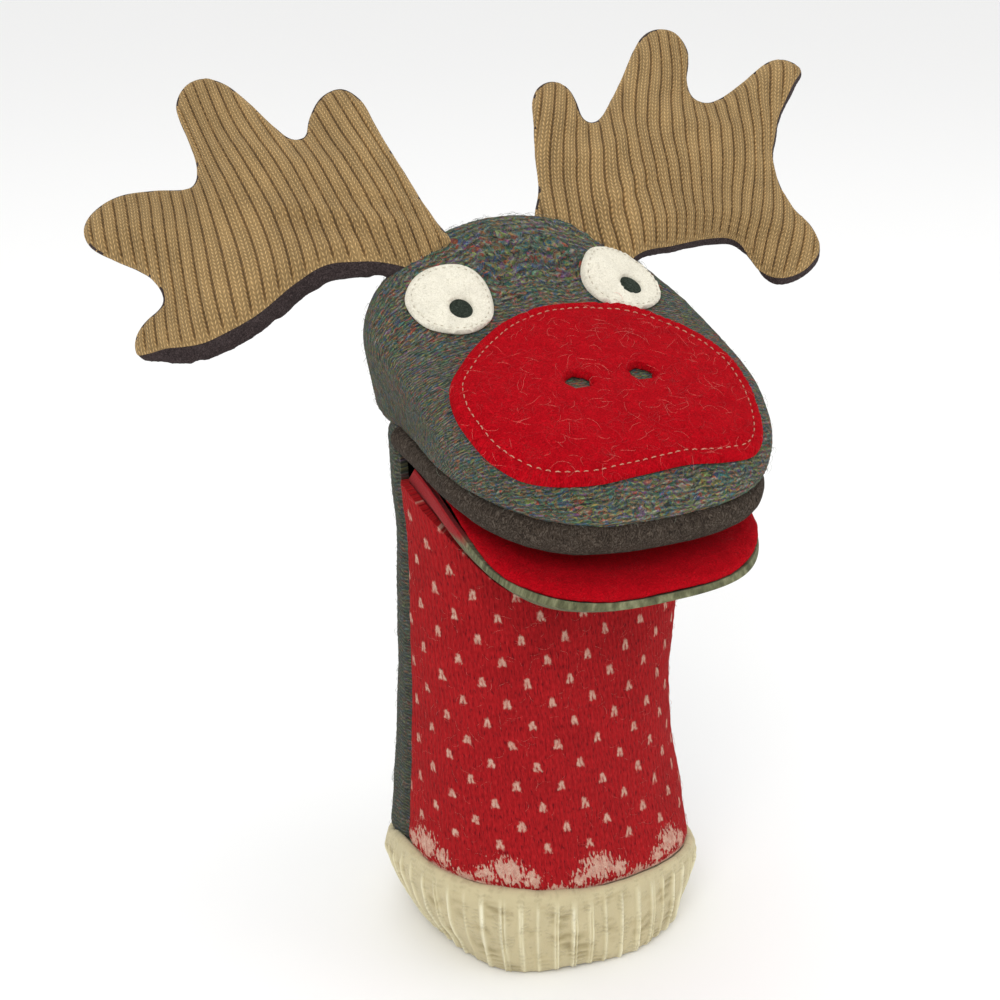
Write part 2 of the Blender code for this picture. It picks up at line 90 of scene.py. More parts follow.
# Height of the seam between the cuff and the panels, at bearings round it in degrees
CUFF_SEAM = ((0, 0.0200), (30, 0.0190), (60, 0.0205), (90, 0.0235), (120, 0.0250),
             (145, 0.0262), (160, 0.0290), (172, 0.0328), (182, 0.0342), (200, 0.0330),
             (220, 0.0320), (236, 0.0303), (253, 0.0282), (270, 0.0268), (290, 0.0268),
             (306, 0.0262), (330, 0.0232), (360, 0.0200))
CUFF_SEAM_FRONT = 0.0268
SEAM_PINCH = 0.0012             # how deep a sewn seam draws the cloth in
SEAM_REACH = 0.0018

# Mouth
LIP_POWER = 3.0
UPPER_LIP = dict(half_width=0.0515, reach=0.0770, fold_y=0.0035, corner_z=0.1725, front_z=0.1610)
LOWER_LIP = dict(half_width=0.0510, reach=0.0750, fold_y=0.0015, corner_z=0.1646, front_z=0.1435)

# Head
CROWN = np.array((0.0, 0.0270, 0.2280))
HEAD_BACK_REACH = 0.0390
HEAD_BEARINGS = (-90, -60, -38, -22, 0, 90)
HEAD_PROFILES = np.array((
    ((1, 0), (1.005, .08), (.955, .17), (.82, .32), (.62, .475), (.31, .65), (.19, .77),
     (.09, .93), (0, 1)),
    ((1, 0), (1.03, .09), (1.02, .21), (.86, .37), (.65, .48), (.35, .645), (.225, .765),
     (.107, .93), (0, 1)),
    ((1, 0), (1.05, .13), (1.08, .28), (1.02, .40), (.83, .51), (.58, .67), (.38, .81),
     (.18, .94), (0, 1)),
    ((1, 0), (1.04, .15), (1.08, .31), (1.06, .455), (.94, .57), (.71, .71), (.46, .84),
     (.21, .955), (0, 1)),
    ((1, 0), (1.05, .165), (1.09, .35), (1.07, .51), (.98, .655), (.80, .80), (.54, .915),
     (.25, .98), (0, 1)),
    ((1, 0), (1.09, .165), (1.15, .35), (1.15, .53), (1.06, .69), (.84, .83), (.55, .93),
     (.25, .985), (0, 1)),
))

# Eyes
EYE_POINT = (0.0295, 0.0044, 0.2098)
EYE_NORMAL = (0.155, -0.725, 0.670)
EYE_RADIUS = 0.0133
EYE_FELT = 0.0018
PUPIL_RADIUS = 0.0036
PUPIL_OFFSETS = {"left": (0.0008, -0.0036), "right": (0.0021, -0.0040)}

# Nose patch: its outline in its own plane, x to the puppet's left, y towards the brow.
NOSE_CENTRE = (0.0, -0.0376, 0.1930)
NOSE_TILT = math.radians(26)
NOSE_FELT = 0.0022
NOSE_STITCH_INSET = 0.0033
NOSE_OUTLINE = (
    (0.003, 0.0365), (-0.0136, 0.0345), (-0.027, 0.0275), (-0.037, 0.0195), (-0.0445, 0.0115),
    (-0.0475, 0.002), (-0.0475, -0.009), (-0.0455, -0.0195), (-0.0405, -0.029),
    (-0.033, -0.0345), (-0.022, -0.0370), (-0.008, -0.0365), (0.007, -0.0360),
    (0.0200, -0.0375), (0.0300, -0.0365), (0.0365, -0.0305), (0.0425, -0.0160),
    (0.0445, 0.0000), (0.0415, 0.0160), (0.0325, 0.0270), (0.0210, 0.0345),
)
NOSTRIL = (0.0106, -0.0008, 0.0039, 0.0033)     # centre in the patch's plane, half sizes

# Antlers: outlines in millimetres, x from the inner to the outer end of the base, y away
# from the head, each listed from the inner end of the base round the tines to the outer end.
ANTLER_PLACES = {
    "left": ((0.0175, 0.0345, 0.2265), (0.0455, 0.0190, 0.2150), (0.0782, 0.0673, 0.2719)),
    "right": ((-0.0190, 0.0310, 0.2300), (-0.0445, 0.0255, 0.2125), (-0.0722, 0.0930, 0.2560)),
}
ANTLER_OUTLINES = {
    "left": ((-17.5, -10), (-19, -2), (-20.5, 7.5), (-25, 19.5), (-29, 30.5), (-31.5, 38), (-31.5, 44.5),
             (-28, 49.5), (-22.5, 49.5), (-18, 45), (-14.5, 40), (-11.5, 39.5), (-9, 42),
             (-7, 51), (-5, 63.5), (-3.5, 75.5), (-1.5, 84), (2.5, 88.5), (8.5, 89.5),
             (14, 85), (16.5, 77.5), (18, 70.5), (21.5, 66), (26, 66), (30.5, 70), (36.5, 79),
             (42.5, 89), (47.5, 94), (54, 94.5), (56.5, 90.5), (55, 81), (53.5, 68.5),
             (54, 59), (54.5, 52.5), (57.5, 45.5), (64.5, 35.5), (71, 30.5), (75, 24.5),
             (76, 18.5), (73, 11), (66.5, 4.5), (61, 3.5), (56, 6), (52.5, 8.5), (47, 10.5),
             (40, 8), (33, 4), (26.5, -0.5), (19.5, -5), (15, -10)),
    "right": ((-9.5, -10), (-12, -2), (-17, 10), (-23, 23.5), (-30, 38.5), (-34, 47.5), (-33.5, 55),
              (-27, 58), (-19, 56.5), (-12, 53), (-9, 55.5), (-9.5, 64), (-11, 78), (-11, 87),
              (-8.5, 93.5), (-2.5, 96), (5, 93.5), (11.5, 83.5), (17, 75), (22, 70),
              (26.5, 69), (34.5, 77), (43.5, 84), (53, 85.5), (59, 82.5), (62, 76), (61, 68),
              (59, 60), (59, 53), (61.5, 46), (65, 44.5), (70, 44.5), (76.5, 42.5), (80, 37),
              (75.5, 27.5), (68, 20.5), (60, 16.5), (51, 13.5), (41, 12), (33.5, 11), (26, 9),
              (20, 4.5), (13, -3), (9, -10)),
}
# The dark back wraps round an edge that faces this way in the antler's plane, by this much;
# the wrap grows between the two cosines of the angle to that way.
ANTLER_WRAPS = {"left": ((0.72, -0.69), 0.0017, 0.25, 0.80),
                "right": ((0.42, -0.91), 0.0046, 0.62, 0.86)}
ANTLER_SPACING = 0.0025         # between the points of an antler's cloth before it is filled
ANTLER_RIB = 0.0039
# Creases near the bases: a line from point to point in the front's plane, half width and depth
ANTLER_CREASES = {"right": (((0.001, 0.006), (0.017, 0.034), 0.0034, 0.0024),
                            ((-0.010, 0.004), (-0.002, 0.024), 0.0026, 0.0012)),
                  "left": (((0.004, 0.005), (0.012, 0.022), 0.0028, 0.0014),)}
SIDES = (("left", 1), ("right", -1))    # the puppet's own left is +X

# ---------------------------------------------------------------- curves and surfaces


def smooth_curve(knots, values, x, flat_ends=False):
    """A cubic curve through values at increasing knots, read at every x."""
    knots, values, x = np.asarray(knots, float), np.asarray(values, float), np.asarray(x, float)
    last = len(knots) - 1
    before = np.maximum(np.arange(last + 1) - 1, 0)
    after = np.minimum(np.arange(last + 1) + 1, last)
    span_shape = (-1,) + (1,) * (values.ndim - 1)
    slopes = (values[after] - values[before]) / (knots[after] - knots[before]).reshape(span_shape)
    if flat_ends:
        slopes[0] = slopes[last] = 0
    span = np.clip(np.searchsorted(knots, x, "right") - 1, 0, last - 1)
    width = knots[span + 1] - knots[span]
    t = (x - knots[span]) / width
    extra = (...,) + (None,) * (values.ndim - 1)
    t, width = t[extra], width[extra]
    return (values[span] * (2 * t ** 3 - 3 * t ** 2 + 1)
            + slopes[span] * width * (t ** 3 - 2 * t ** 2 + t)
            + values[span + 1] * (3 * t ** 2 - 2 * t ** 3)
            + slopes[span + 1] * width * (t ** 3 - t ** 2))


def smooth_step(low, high, x):
    t = np.clip((np.asarray(x, float) - low) / (high - low), 0, 1)
    return t * t * (3 - 2 * t)


def superellipse(half_x, half_y, power, angle):
    """X and Y of a superellipse at angles from +X towards +Y."""
    cosine, sine = np.cos(angle), np.sin(angle)
    x = half_x * np.sign(cosine) * np.abs(cosine) ** (2 / power)
    y = half_y * np.sign(sine) * np.abs(sine) ** (2 / power)
    return x, y


def even_angles(start, end, count, half_x, half_y, power):
    """Angles along a superellipse that divide it into equal lengths."""
    fine = np.linspace(start, end, 4000)
    x, y = superellipse(half_x, half_y, power, fine)
    length = np.concatenate(([0], np.cumsum(np.hypot(np.diff(x), np.diff(y)))))
    return np.interp(np.linspace(0, length[-1], count), length, fine), length[-1]


def bell_at(angle, middle, width):
    """1 at one bearing, falling away on both sides."""
    return np.exp(-((((angle - middle + math.pi) % TURN - math.pi) / width) ** 2))


def sleeve_hollow(angle, height):
    """How far the worn sleeve sinks in: its left side at a third of its height, and its back."""
    left = bell_at(angle, -0.46, 0.55) * np.exp(-(((height - 0.077) / 0.032) ** 2))
    back = bell_at(angle, 2.45, 0.50) * (0.0034 - 0.0020 * smooth_step(0.020, 0.036, height)
                                         + 0.0014 * smooth_step(0.045, 0.070, height))
    hip = bell_at(angle, 0.15, 0.60) * smooth_step(0.045, 0.028, height)
    # The neck spreads to meet the corners of the lower lip, and its top is tucked into the head
    corner = bell_at(angle, 3.45, 0.30) + bell_at(angle, 5.97, 0.30)
    return (0.0042 * left + back + 0.0020 * hip
            - 0.0022 * corner * smooth_step(0.130, 0.158, height)
            + (0.0014 + 0.0022 * smooth_step(0.25, 0.6, np.sin(angle)))
            * smooth_step(0.1665, 0.1730, height))


def sleeve_surface(angle, height, inset=0.0):
    section = smooth_curve(SLEEVE_SECTIONS[:, 0], SLEEVE_SECTIONS[:, 1:],
                           np.minimum(height, SLEEVE_SECTIONS[-1, 0]))
    inset = inset + sleeve_hollow(angle, height)
    x, y = superellipse(section[..., 0] - inset, section[..., 1] - inset, SLEEVE_POWER, angle)
    return np.stack((x, section[..., 2] + y, height * np.ones_like(x)), -1)


def lip_surface(lip, angle, share=1.0):
    """Points of a mouth plate: angles from pi to 2 pi run round the lip, share 0 is the fold."""
    x, y = superellipse(lip["half_width"], lip["reach"], LIP_POWER, angle)
    x, y = x * share, y * share
    slope = (lip["front_z"] - lip["corner_z"]) / lip["reach"]
    return np.stack((x, lip["fold_y"] + y, lip["corner_z"] - slope * y), -1)


def head_surface(angles, rises):
    """A grid of points, one row for each rise from the rim (0) to the crown (1)."""
    columns = []
    for angle in angles:
        if math.sin(angle) < 0:
            rim = lip_surface(UPPER_LIP, np.array(angle))
        else:
            x, y = superellipse(UPPER_LIP["half_width"], HEAD_BACK_REACH, SLEEVE_POWER, angle)
            rim = np.array((x, UPPER_LIP["fold_y"] + y, UPPER_LIP["corner_z"]))
        bearing = math.degrees(math.atan2(rim[1] - CROWN[1], abs(rim[0])))
        bearing = np.clip(bearing, HEAD_BEARINGS[0], HEAD_BEARINGS[-1])
        profile = smooth_curve(HEAD_BEARINGS, HEAD_PROFILES, bearing, True)
        spread, height = smooth_curve(range(len(profile)), profile, rises * (len(profile) - 1)).T
        columns.append(np.stack((rim[0] * spread, CROWN[1] + (rim[1] - CROWN[1]) * spread,
                                 rim[2] + (CROWN[2] - rim[2]) * height), -1))
    return np.stack(columns, 1)


def throat_height(angle):
    """Top edge of the front panel: high at the mouth's corners, low under the jaw."""
    side = np.abs(np.cos(angle))
    return THROAT_HEIGHT + (THROAT_CORNER_HEIGHT - THROAT_HEIGHT) * side ** 3.2


def corner_fade(angle):
    """0 at the corners of the mouth, where the lips close on each other, 1 round the front."""
    angle = np.asarray(angle)
    return smooth_step(0.04, 0.72, np.minimum(angle - math.pi, TURN - angle))


def cuff_seam_height(angle):
    bearings, heights = np.array(CUFF_SEAM).T
    return smooth_curve(np.radians(bearings), heights, np.asarray(angle) % TURN)


def lumps(points, size, seed):
    """Smooth noise from -1 to 1 over points of any shape."""
    flat = np.asarray(points, float).reshape(-1, 3) / size + seed * 17.3
    values = np.array([noise.noise(Vector(p)) for p in flat])
    return values.reshape(np.asarray(points).shape[:-1])


def grid_normals(points, wrap):
    """Unit normals of a grid whose columns run anticlockwise and whose rows run up."""
    if wrap:
        across = np.roll(points, -1, 1) - np.roll(points, 1, 1)
    else:
        across = np.gradient(points, axis=1)
    up = np.gradient(points, axis=0)
    normals = np.cross(across, up)
    return normals / np.maximum(np.linalg.norm(normals, axis=-1, keepdims=True), 1e-12)


# ---------------------------------------------------------------- knitted relief


def knit_relief(u, v, stitch, row):
    """Height from 0 to 1 of stockinette: two slanted legs to every stitch."""
    across = np.abs(u / stitch - np.floor(u / stitch) - 0.5)
    ridge = 0.5 + 0.5 * np.cos((across - 0.25) * 2 * TURN)
    bead = 0.5 + 0.5 * np.cos((v / row - 1.1 * across) * TURN)
    return ridge * (0.55 + 0.45 * bead)


def rib_relief(u, pitch, valley=0.105):
    """Height from 0 to 1 of broad ribs with narrow valleys between them."""
    across = np.abs(u / pitch - np.floor(u / pitch) - 0.5)
    return 1 - np.exp(-(((0.5 - across) / valley) ** 2))


# ---------------------------------------------------------------- mesh helpers


def mesh_object(name, vertices, faces, cloth, material, sharp=50):
    """A mesh in its place in the frame.  cloth is each point's coordinate for the weave."""
    mesh = bpy.data.meshes.new(name)
    mesh.from_pydata(np.asarray(vertices, float) + PLACE, [], faces)
    mesh.update()
    layer = mesh.attributes.new("cloth", "FLOAT_VECTOR", "POINT")
    layer.data.foreach_set("vector", np.asarray(cloth, np.float32).ravel())
    mesh.shade_smooth()
    mesh.set_sharp_from_angle(angle=math.radians(sharp))
    mesh.materials.append(material)
    piece = bpy.data.objects.new(name, mesh)
    bpy.context.scene.collection.objects.link(piece)
    return piece


def grid_faces(rows, columns, wrap, wrap_rows=False, offset=0, flip=False):
    """Quads of a grid, numbered row by row from offset."""
    column = np.arange(columns if wrap else columns - 1)
    row = np.arange(rows if wrap_rows else rows - 1)
    row, column = [part.ravel() for part in np.meshgrid(row, column, indexing="ij")]
    next_column, next_row = (column + 1) % columns, (row + 1) % rows
    quads = np.stack((row * columns + column, row * columns + next_column,
                      next_row * columns + next_column, next_row * columns + column), -1)
    if flip:
        quads = quads[:, ::-1]
    return (quads + offset).tolist()


COARSE = 4                      # the unseen inner face of a cloth has every fourth point


def shell(name, points, cloth, material, wrap=False, thickness=CLOTH_THICKNESS, pole=False):
    """A closed sheet of cloth: a grid of outer points over a coarser grid of inner ones.

    With pole, the last row is one point, the middle of a dome.
    """
    rows, columns = points.shape[:2]
    normals = grid_normals(points, wrap)
    inner = (points - normals * thickness)[::COARSE, ::COARSE]
    inner_cloth = cloth[::COARSE, ::COARSE]
    vertices, coordinates, faces, starts, sizes = [], [], [], [], []
    for layer, coordinate, flip in ((points, cloth, False), (inner, inner_cloth, True)):
        body, width = layer.shape[0] - (1 if pole else 0), layer.shape[1]
        start = len(vertices)
        starts.append(start)
        sizes.append((body, width))
        vertices.extend(layer[:body].reshape(-1, 3))
        coordinates.extend(coordinate[:body].reshape(-1, 3))
        faces.extend(grid_faces(body, width, wrap, offset=start, flip=flip))
        if pole:
            top = len(vertices)
            sink = thickness if flip else 0
            vertices.append(points[-1].mean(0) - (0, 0, sink))
            coordinates.append(coordinate[-1].mean(0))
            last = start + (body - 1) * width
            for i in range(width):
                fan = [last + i, last + (i + 1) % width, top]
                faces.append(fan[::-1] if flip else fan)

    def border(layer):
        """Closed loops of numbers round the layer, the cloth on their left."""
        body, width = sizes[layer]
        number = starts[layer] + np.arange(body * width).reshape(body, width)
        if wrap:
            return [number[0].tolist()] + ([] if pole else [number[-1, ::-1].tolist()])
        return [number[0, :-1].tolist() + number[:-1, -1].tolist()
                + number[-1, :0:-1].tolist() + number[:0:-1, 0].tolist()]

    for outside, within in zip(border(0), border(1)):
        step = len(outside) // len(within)
        for i, here in enumerate(within):
            run = [outside[(i * step + k) % len(outside)] for k in range(step + 1)]
            faces.append([here, within[(i + 1) % len(within)]] + run[::-1])
    return mesh_object(name, vertices, faces, coordinates, material)


def fit_coarse(count, wrap=False):
    """The next number of points that the coarse inner grid divides."""
    return count + -count % COARSE + (0 if wrap else 1)


def finish_piece(piece, bodies, nodes):
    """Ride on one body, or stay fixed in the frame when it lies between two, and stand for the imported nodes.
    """
    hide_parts(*nodes)
    if isinstance(bodies, str):
        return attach(piece, bodies)
    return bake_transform(piece)


# ---------------------------------------------------------------- materials


class Value:
    """A number in a material's node tree, so that a pattern reads as a formula."""

    def __init__(self, graph, socket):
        self.graph, self.socket = graph, socket

    def __add__(self, other):
        return self.graph.math("ADD", self, other)

    def __radd__(self, other):
        return self.graph.math("ADD", other, self)

    def __sub__(self, other):
        return self.graph.math("SUBTRACT", self, other)

    def __rsub__(self, other):
        return self.graph.math("SUBTRACT", other, self)

    def __mul__(self, other):
        return self.graph.math("MULTIPLY", self, other)

    def __rmul__(self, other):
        return self.graph.math("MULTIPLY", other, self)

    def __truediv__(self, other):
        return self.graph.math("DIVIDE", self, other)

    def __abs__(self):
        return self.graph.math("ABSOLUTE", self)


class Graph:
    """One material's node tree.  Lengths in it are millimetres along the cloth."""

    def __init__(self, name):
        self.material = bpy.data.materials.new(name)
        self.material.use_nodes = True
        self.tree = self.material.node_tree
        self.shader = self.tree.nodes["Principled BSDF"]
        attribute = self.node("ShaderNodeAttribute")
        attribute.attribute_name = "cloth"
        scale = self.node("ShaderNodeVectorMath", operation="SCALE")
        self.tree.links.new(attribute.outputs["Vector"], scale.inputs[0])
        scale.inputs["Scale"].default_value = 1 / MM
        self.place = scale.outputs["Vector"]
        parts = self.node("ShaderNodeSeparateXYZ")
        self.tree.links.new(self.place, parts.inputs[0])
        self.u, self.v, self.w = (Value(self, output) for output in parts.outputs)

    def node(self, kind, **settings):
        made = self.tree.nodes.new(kind)
        for key, value in settings.items():
            setattr(made, key, value)
        return made

    def feed(self, socket, value):
        """Connect a Value or a socket to an input, or set a plain number or colour."""
        if isinstance(value, Value):
            value = value.socket
        if isinstance(value, bpy.types.NodeSocket):
            self.tree.links.new(value, socket)
        elif socket.type == "RGBA":
            socket.default_value = (*value[:3], 1.0)
        else:
            socket.default_value = value

    def math(self, operation, *terms):
        made = self.node("ShaderNodeMath", operation=operation)
        for socket, term in zip(made.inputs, terms):
            self.feed(socket, term)
        return Value(self, made.outputs[0])

    def fraction(self, value):
        return self.math("FRACT", value)

    def wave(self, value):
        """A cosine of a value counted in whole turns, from 0 to 1."""
        return self.math("COSINE", value * TURN) * 0.5 + 0.5

    def bell(self, value, width):
        """1 where value is 0, falling away over width."""
        scaled = value * (1 / width)
        return self.math("EXPONENT", scaled * scaled * -1.0)

    def step(self, low, high, value):
        made = self.node("ShaderNodeMapRange", interpolation_type="SMOOTHSTEP")
        self.feed(made.inputs["Value"], value)
        made.inputs["From Min"].default_value = low
        made.inputs["From Max"].default_value = high
        return Value(self, made.outputs["Result"])

    def stretched(self, across, along, depth=None, turn=0.0):
        """The place in units of the given sizes, for noise longer one way than the other."""
        made = self.node("ShaderNodeMapping", vector_type="POINT")
        self.feed(made.inputs["Vector"], self.place)
        made.inputs["Rotation"].default_value = (0, 0, turn)
        made.inputs["Scale"].default_value = (1 / across, 1 / along, 1 / (depth or across))
        return made.outputs["Vector"]

    def vector(self, x, y, z=0.0):
        made = self.node("ShaderNodeCombineXYZ")
        for socket, value in zip(made.inputs, (x, y, z)):
            self.feed(socket, value)
        return made.outputs[0]

    def noise(self, place, detail=2.0, roughness=0.5, distortion=0.0):
        made = self.node("ShaderNodeTexNoise", noise_dimensions="3D")
        self.feed(made.inputs["Vector"], place)
        made.inputs["Scale"].default_value = 1.0
        made.inputs["Detail"].default_value = detail
        made.inputs["Roughness"].default_value = roughness
        made.inputs["Distortion"].default_value = distortion
        return Value(self, made.outputs[0])

    def cells(self, place, feature="F1"):
        """Voronoi cells: the distance to the middle of the cell, and a random number for it."""
        made = self.node("ShaderNodeTexVoronoi", voronoi_dimensions="3D", feature=feature)
        self.feed(made.inputs["Vector"], place)
        made.inputs["Scale"].default_value = 1.0
        parts = self.node("ShaderNodeSeparateColor")
        self.tree.links.new(made.outputs["Color"], parts.inputs[0])
        return Value(self, made.outputs["Distance"]), Value(self, parts.outputs[0])

    def vivid(self, value, gain=2.2):
        """Noise spread out over the whole of 0 to 1."""
        made = self.math("ADD", (value - 0.5) * gain, 0.5)
        made.socket.node.use_clamp = True
        return made

    def mix(self, share, first, second, blend="MIX"):
        made = self.node("ShaderNodeMix", data_type="RGBA", blend_type=blend)
        self.feed(made.inputs[0], share)
        self.feed(made.inputs[6], first)
        self.feed(made.inputs[7], second)
        return made.outputs[2]

    def palette(self, share, colours, hard=False):
        """A ramp with the colours spread evenly."""
        made = self.node("ShaderNodeValToRGB")
        made.color_ramp.interpolation = "CONSTANT" if hard else "LINEAR"
        elements = made.color_ramp.elements
        while len(elements) < len(colours):
            elements.new(0.5)
        last = len(colours) if hard else len(colours) - 1
        for i, colour in enumerate(colours):
            elements[i].position = i / last
            elements[i].color = (*colour, 1.0)
        self.feed(made.inputs[0], share)
        return made.outputs[0]

    def scaled(self, colour, factor):
        """A colour made lighter or darker by a factor round 1."""
        return self.mix(1.0, colour, self.vector(factor, factor, factor), "MULTIPLY")

    def finish(self, colour, height, bump_mm, roughness=0.95, fuzz=0.35, fuzz_colour=None):
        """Wool: no gloss, a soft sheen of loose fibre at grazing angles, and a bumpy surface."""
        self.feed(self.shader.inputs["Base Color"], colour)
        self.feed(self.shader.inputs["Roughness"], roughness)
        self.shader.inputs["Specular IOR Level"].default_value = 0.06
        self.shader.inputs["Sheen Weight"].default_value = fuzz
        self.shader.inputs["Sheen Roughness"].default_value = 0.55
        self.feed(self.shader.inputs["Sheen Tint"], fuzz_colour or (1.0, 1.0, 1.0))
        bump = self.node("ShaderNodeBump")
        bump.inputs["Strength"].default_value = 1.0
        bump.inputs["Distance"].default_value = bump_mm * MM
        self.feed(bump.inputs["Height"], height)
        self.tree.links.new(bump.outputs[0], self.shader.inputs["Normal"])
        return self.material


def stitches_of(graph, u, v, stitch, row, slant=1.1):
    """Legs of stockinette: how far up a leg's rounded top each place is, from 0 to 1."""
    across = abs(graph.fraction(u / stitch) - 0.5)
    ridge = graph.wave((across - 0.25) * 2.0)
    bead = graph.wave(v / row - across * slant)
    return ridge, bead


def red_knit_material():
    """Felted red stockinette with cream stitches in a staggered grid and a motif at the cuff."""
    g = Graph("red_knit")
    wander = g.noise(g.stretched(9, 9), 1) - 0.5
    u = g.u + wander * 1.6
    v = g.v + (g.noise(g.stretched(11, 7), 1) - 0.5) * 1.2
    ragged = g.noise(g.stretched(0.75, 1.3), 2) - 0.5
    # One stitch wide and one row high, in stitches and rows
    column, line = u / 3.5, v / 3.5
    ridge, bead = stitches_of(g, u, v, 3.5, 3.5)

    def fleck(first_column, first_line, period_columns, period_lines, width=0.235):
        """An inverted V on one stitch out of a repeat."""
        x = (g.fraction((column - first_column) / period_columns + 0.5) - 0.5) * period_columns
        y = (g.fraction((line - first_line) / period_lines + 0.5) - 0.5) * period_lines
        arm = abs(abs(x) - (0.13 - y * 0.19)) + ragged * 0.46
        inside = g.step(width, width * 0.15, arm)
        ends = g.step(0.56, 0.26, abs(y) + ragged * 0.6)
        return inside * ends

    dots = g.math("MAXIMUM", fleck(0.0, 0.0, 4, 4), fleck(2.0, 2.0, 4, 4))
    above_motif = g.step(38.0, 39.5, g.v)

    streak = (g.noise(g.stretched(0.75, 2.2), 2) - 0.5) * 3.2

    def patch(middle_column, middle_line, half_columns, half_lines):
        """A ragged cluster of cream stitches that repeats along the cuff."""
        x = (g.fraction((column - middle_column) / 8.0 + 0.5) - 0.5) * (8.0 / half_columns)
        y = (line - middle_line) * (1 / half_lines)
        distance = g.math("SQRT", x * x + y * y)
        return g.step(1.00, 0.70, distance + streak + ragged * 0.5)

    motif = patch(0.5, 9.5, 1.55, 1.30)
    for middle_column, middle_line, half_columns, half_lines in (
            (2.4, 8.9, 0.75, 0.9), (-1.5, 8.8, 0.8, 0.8), (4.5, 7.7, 1.1, 0.85)):
        motif = g.math("MAXIMUM", motif, patch(middle_column, middle_line, half_columns,
                                               half_lines))
    fringe = g.step(28.1, 27.0, g.v + ragged * 3.0 + streak * 1.0)
    motif = g.math("MAXIMUM", motif, fringe)
    cream = g.math("MAXIMUM", dots * above_motif, motif * (1.0 - above_motif))
    cream = cream * (g.vivid(g.noise(g.stretched(1.6, 2.2), 2)) * 0.45 + 0.55)
    grain = g.noise(g.stretched(0.42, 1.9), 3, 0.62)
    fibre = g.noise(g.stretched(0.16, 0.5), 3, 0.7, 0.6)
    cloudy = g.noise(g.stretched(14, 14), 2)
    red = g.palette(g.vivid(grain, 1.5), ((0.10, 0.002, 0.004), (0.30, 0.007, 0.010), (0.42, 0.012, 0.016),
                            (0.54, 0.030, 0.032)))
    # ridge * 0.14 is a painted highlight on the crests of the stitch legs.
    red = g.scaled(red, 0.66 + cloudy * 0.42 + ridge * 0.14)
    gaps = g.step(0.56, 0.68, g.noise(g.stretched(0.45, 2.4), 2, 0.5))
    red = g.mix(gaps * 0.75, red, (0.075, 0.002, 0.006))
    hairs = g.step(0.66, 0.74, fibre)
    red = g.mix(hairs * 0.22, red, (0.68, 0.14, 0.12))
    wool = g.palette(g.vivid(fibre), ((0.46, 0.20, 0.15), (0.66, 0.46, 0.35), (0.80, 0.66, 0.52)))
    wool = g.mix(g.step(0.50, 0.70, grain) * 0.45, wool, (0.46, 0.08, 0.06))
    colour = g.mix(cream * 0.92, red, wool)
    height = ridge * (bead * 0.45 + 0.55) * 0.55 + grain * 0.7 + fibre * 0.35 + cream * 0.25
    return g.finish(colour, height, 0.60, fuzz=0.10, fuzz_colour=(1.0, 0.25, 0.20))


HEATHER_HUES = (
    (0.018, 0.024, 0.020), (0.12, 0.13, 0.09), (0.025, 0.15, 0.16), (0.25, 0.24, 0.07),
    (0.050, 0.055, 0.045), (0.035, 0.080, 0.22), (0.16, 0.19, 0.14), (0.34, 0.14, 0.05),
    (0.028, 0.034, 0.028), (0.21, 0.28, 0.06), (0.18, 0.07, 0.19), (0.27, 0.30, 0.23),
    (0.40, 0.060, 0.035), (0.038, 0.043, 0.038), (0.05, 0.18, 0.09), (0.090, 0.10, 0.075))


def heather(g, u, v, stitch, row, dark, contrast):
    """The tweed wool: charcoal with flecks of many colours drawn out along the stitches."""
    bend = (g.noise(g.stretched(3.0, 3.0), 2) - 0.5) * 2.6
    place = g.vector(u * 0.42, (v + bend) * 0.95, g.w * 0.4)
    distance, chance = g.cells(place)
    fine = g.vector(u * 1.3, (v + bend) * 2.6, g.w)
    small_distance, small_chance = g.cells(fine)
    patches = g.noise(g.vector(u * 0.16, v * 0.32, g.w * 0.2), 2)
    fleck = g.palette(g.fraction(chance * 3.0 + patches), HEATHER_HUES, True)
    speck = g.palette(g.fraction(small_chance * 5.0 + patches), HEATHER_HUES[::-1], True)
    base = g.palette(g.vivid(patches), ((0.036, 0.042, 0.035), (0.070, 0.078, 0.060),
                                        (0.125, 0.130, 0.090)))
    flecks = g.mix(0.42, fleck, speck)
    colour = g.mix(contrast, base, flecks)
    fibre = g.noise(g.vector(u * 2.8, (v + bend) * 6.5, g.w * 3.0), 3, 0.65, 0.5)
    colour = g.scaled(colour, (g.vivid(fibre) * 0.95 + 0.32) * dark)
    light = g.step(0.62, 0.70, fibre)
    colour = g.mix(light * 0.30, colour, (0.30, 0.33, 0.24))
    ridge, bead = stitches_of(g, v + bend * 0.5, u + bend * 0.6, row, stitch, 2.4)
    relief = ridge * (bead * 0.7 + 0.3)
    # Painted shade between the stitch legs and painted highlight on their crests.
    colour = g.scaled(colour, relief * 0.95 + 0.58)
    height = relief * 0.55 + fibre * 0.6 + distance * -0.25
    return colour, height


def heather_material():
    """The head: tweed knit with its rows lying across, brightest round the lip."""
    g = Graph("heather_knit")
    wander = (g.noise(g.stretched(8, 8), 1) - 0.5) * 2.4
    lip = g.step(24.0, 8.0, g.v)
    colour, height = heather(g, g.u + wander, g.v + wander, 2.6, 2.6, lip * 0.35 + 0.98, 0.88)
    return g.finish(colour, height, 0.60, fuzz=0.08, fuzz_colour=(0.75, 0.85, 0.80))


def shaded_heather_material():
    """The back of the sleeve: the same wool as the head, darker and plainer as painted shade on the shaded
    back.
    """
    g = Graph("charcoal_knit")
    wander = (g.noise(g.stretched(8, 8), 1) - 0.5) * 2.4
    # dark 0.85 and contrast 0.40 paint shade onto the head's tweed
    colour, height = heather(g, g.u + wander, g.v + wander, 2.6, 2.6, 0.85, 0.40)
    return g.finish(colour, height, 0.60, fuzz=0.08, fuzz_colour=(0.75, 0.85, 0.80))


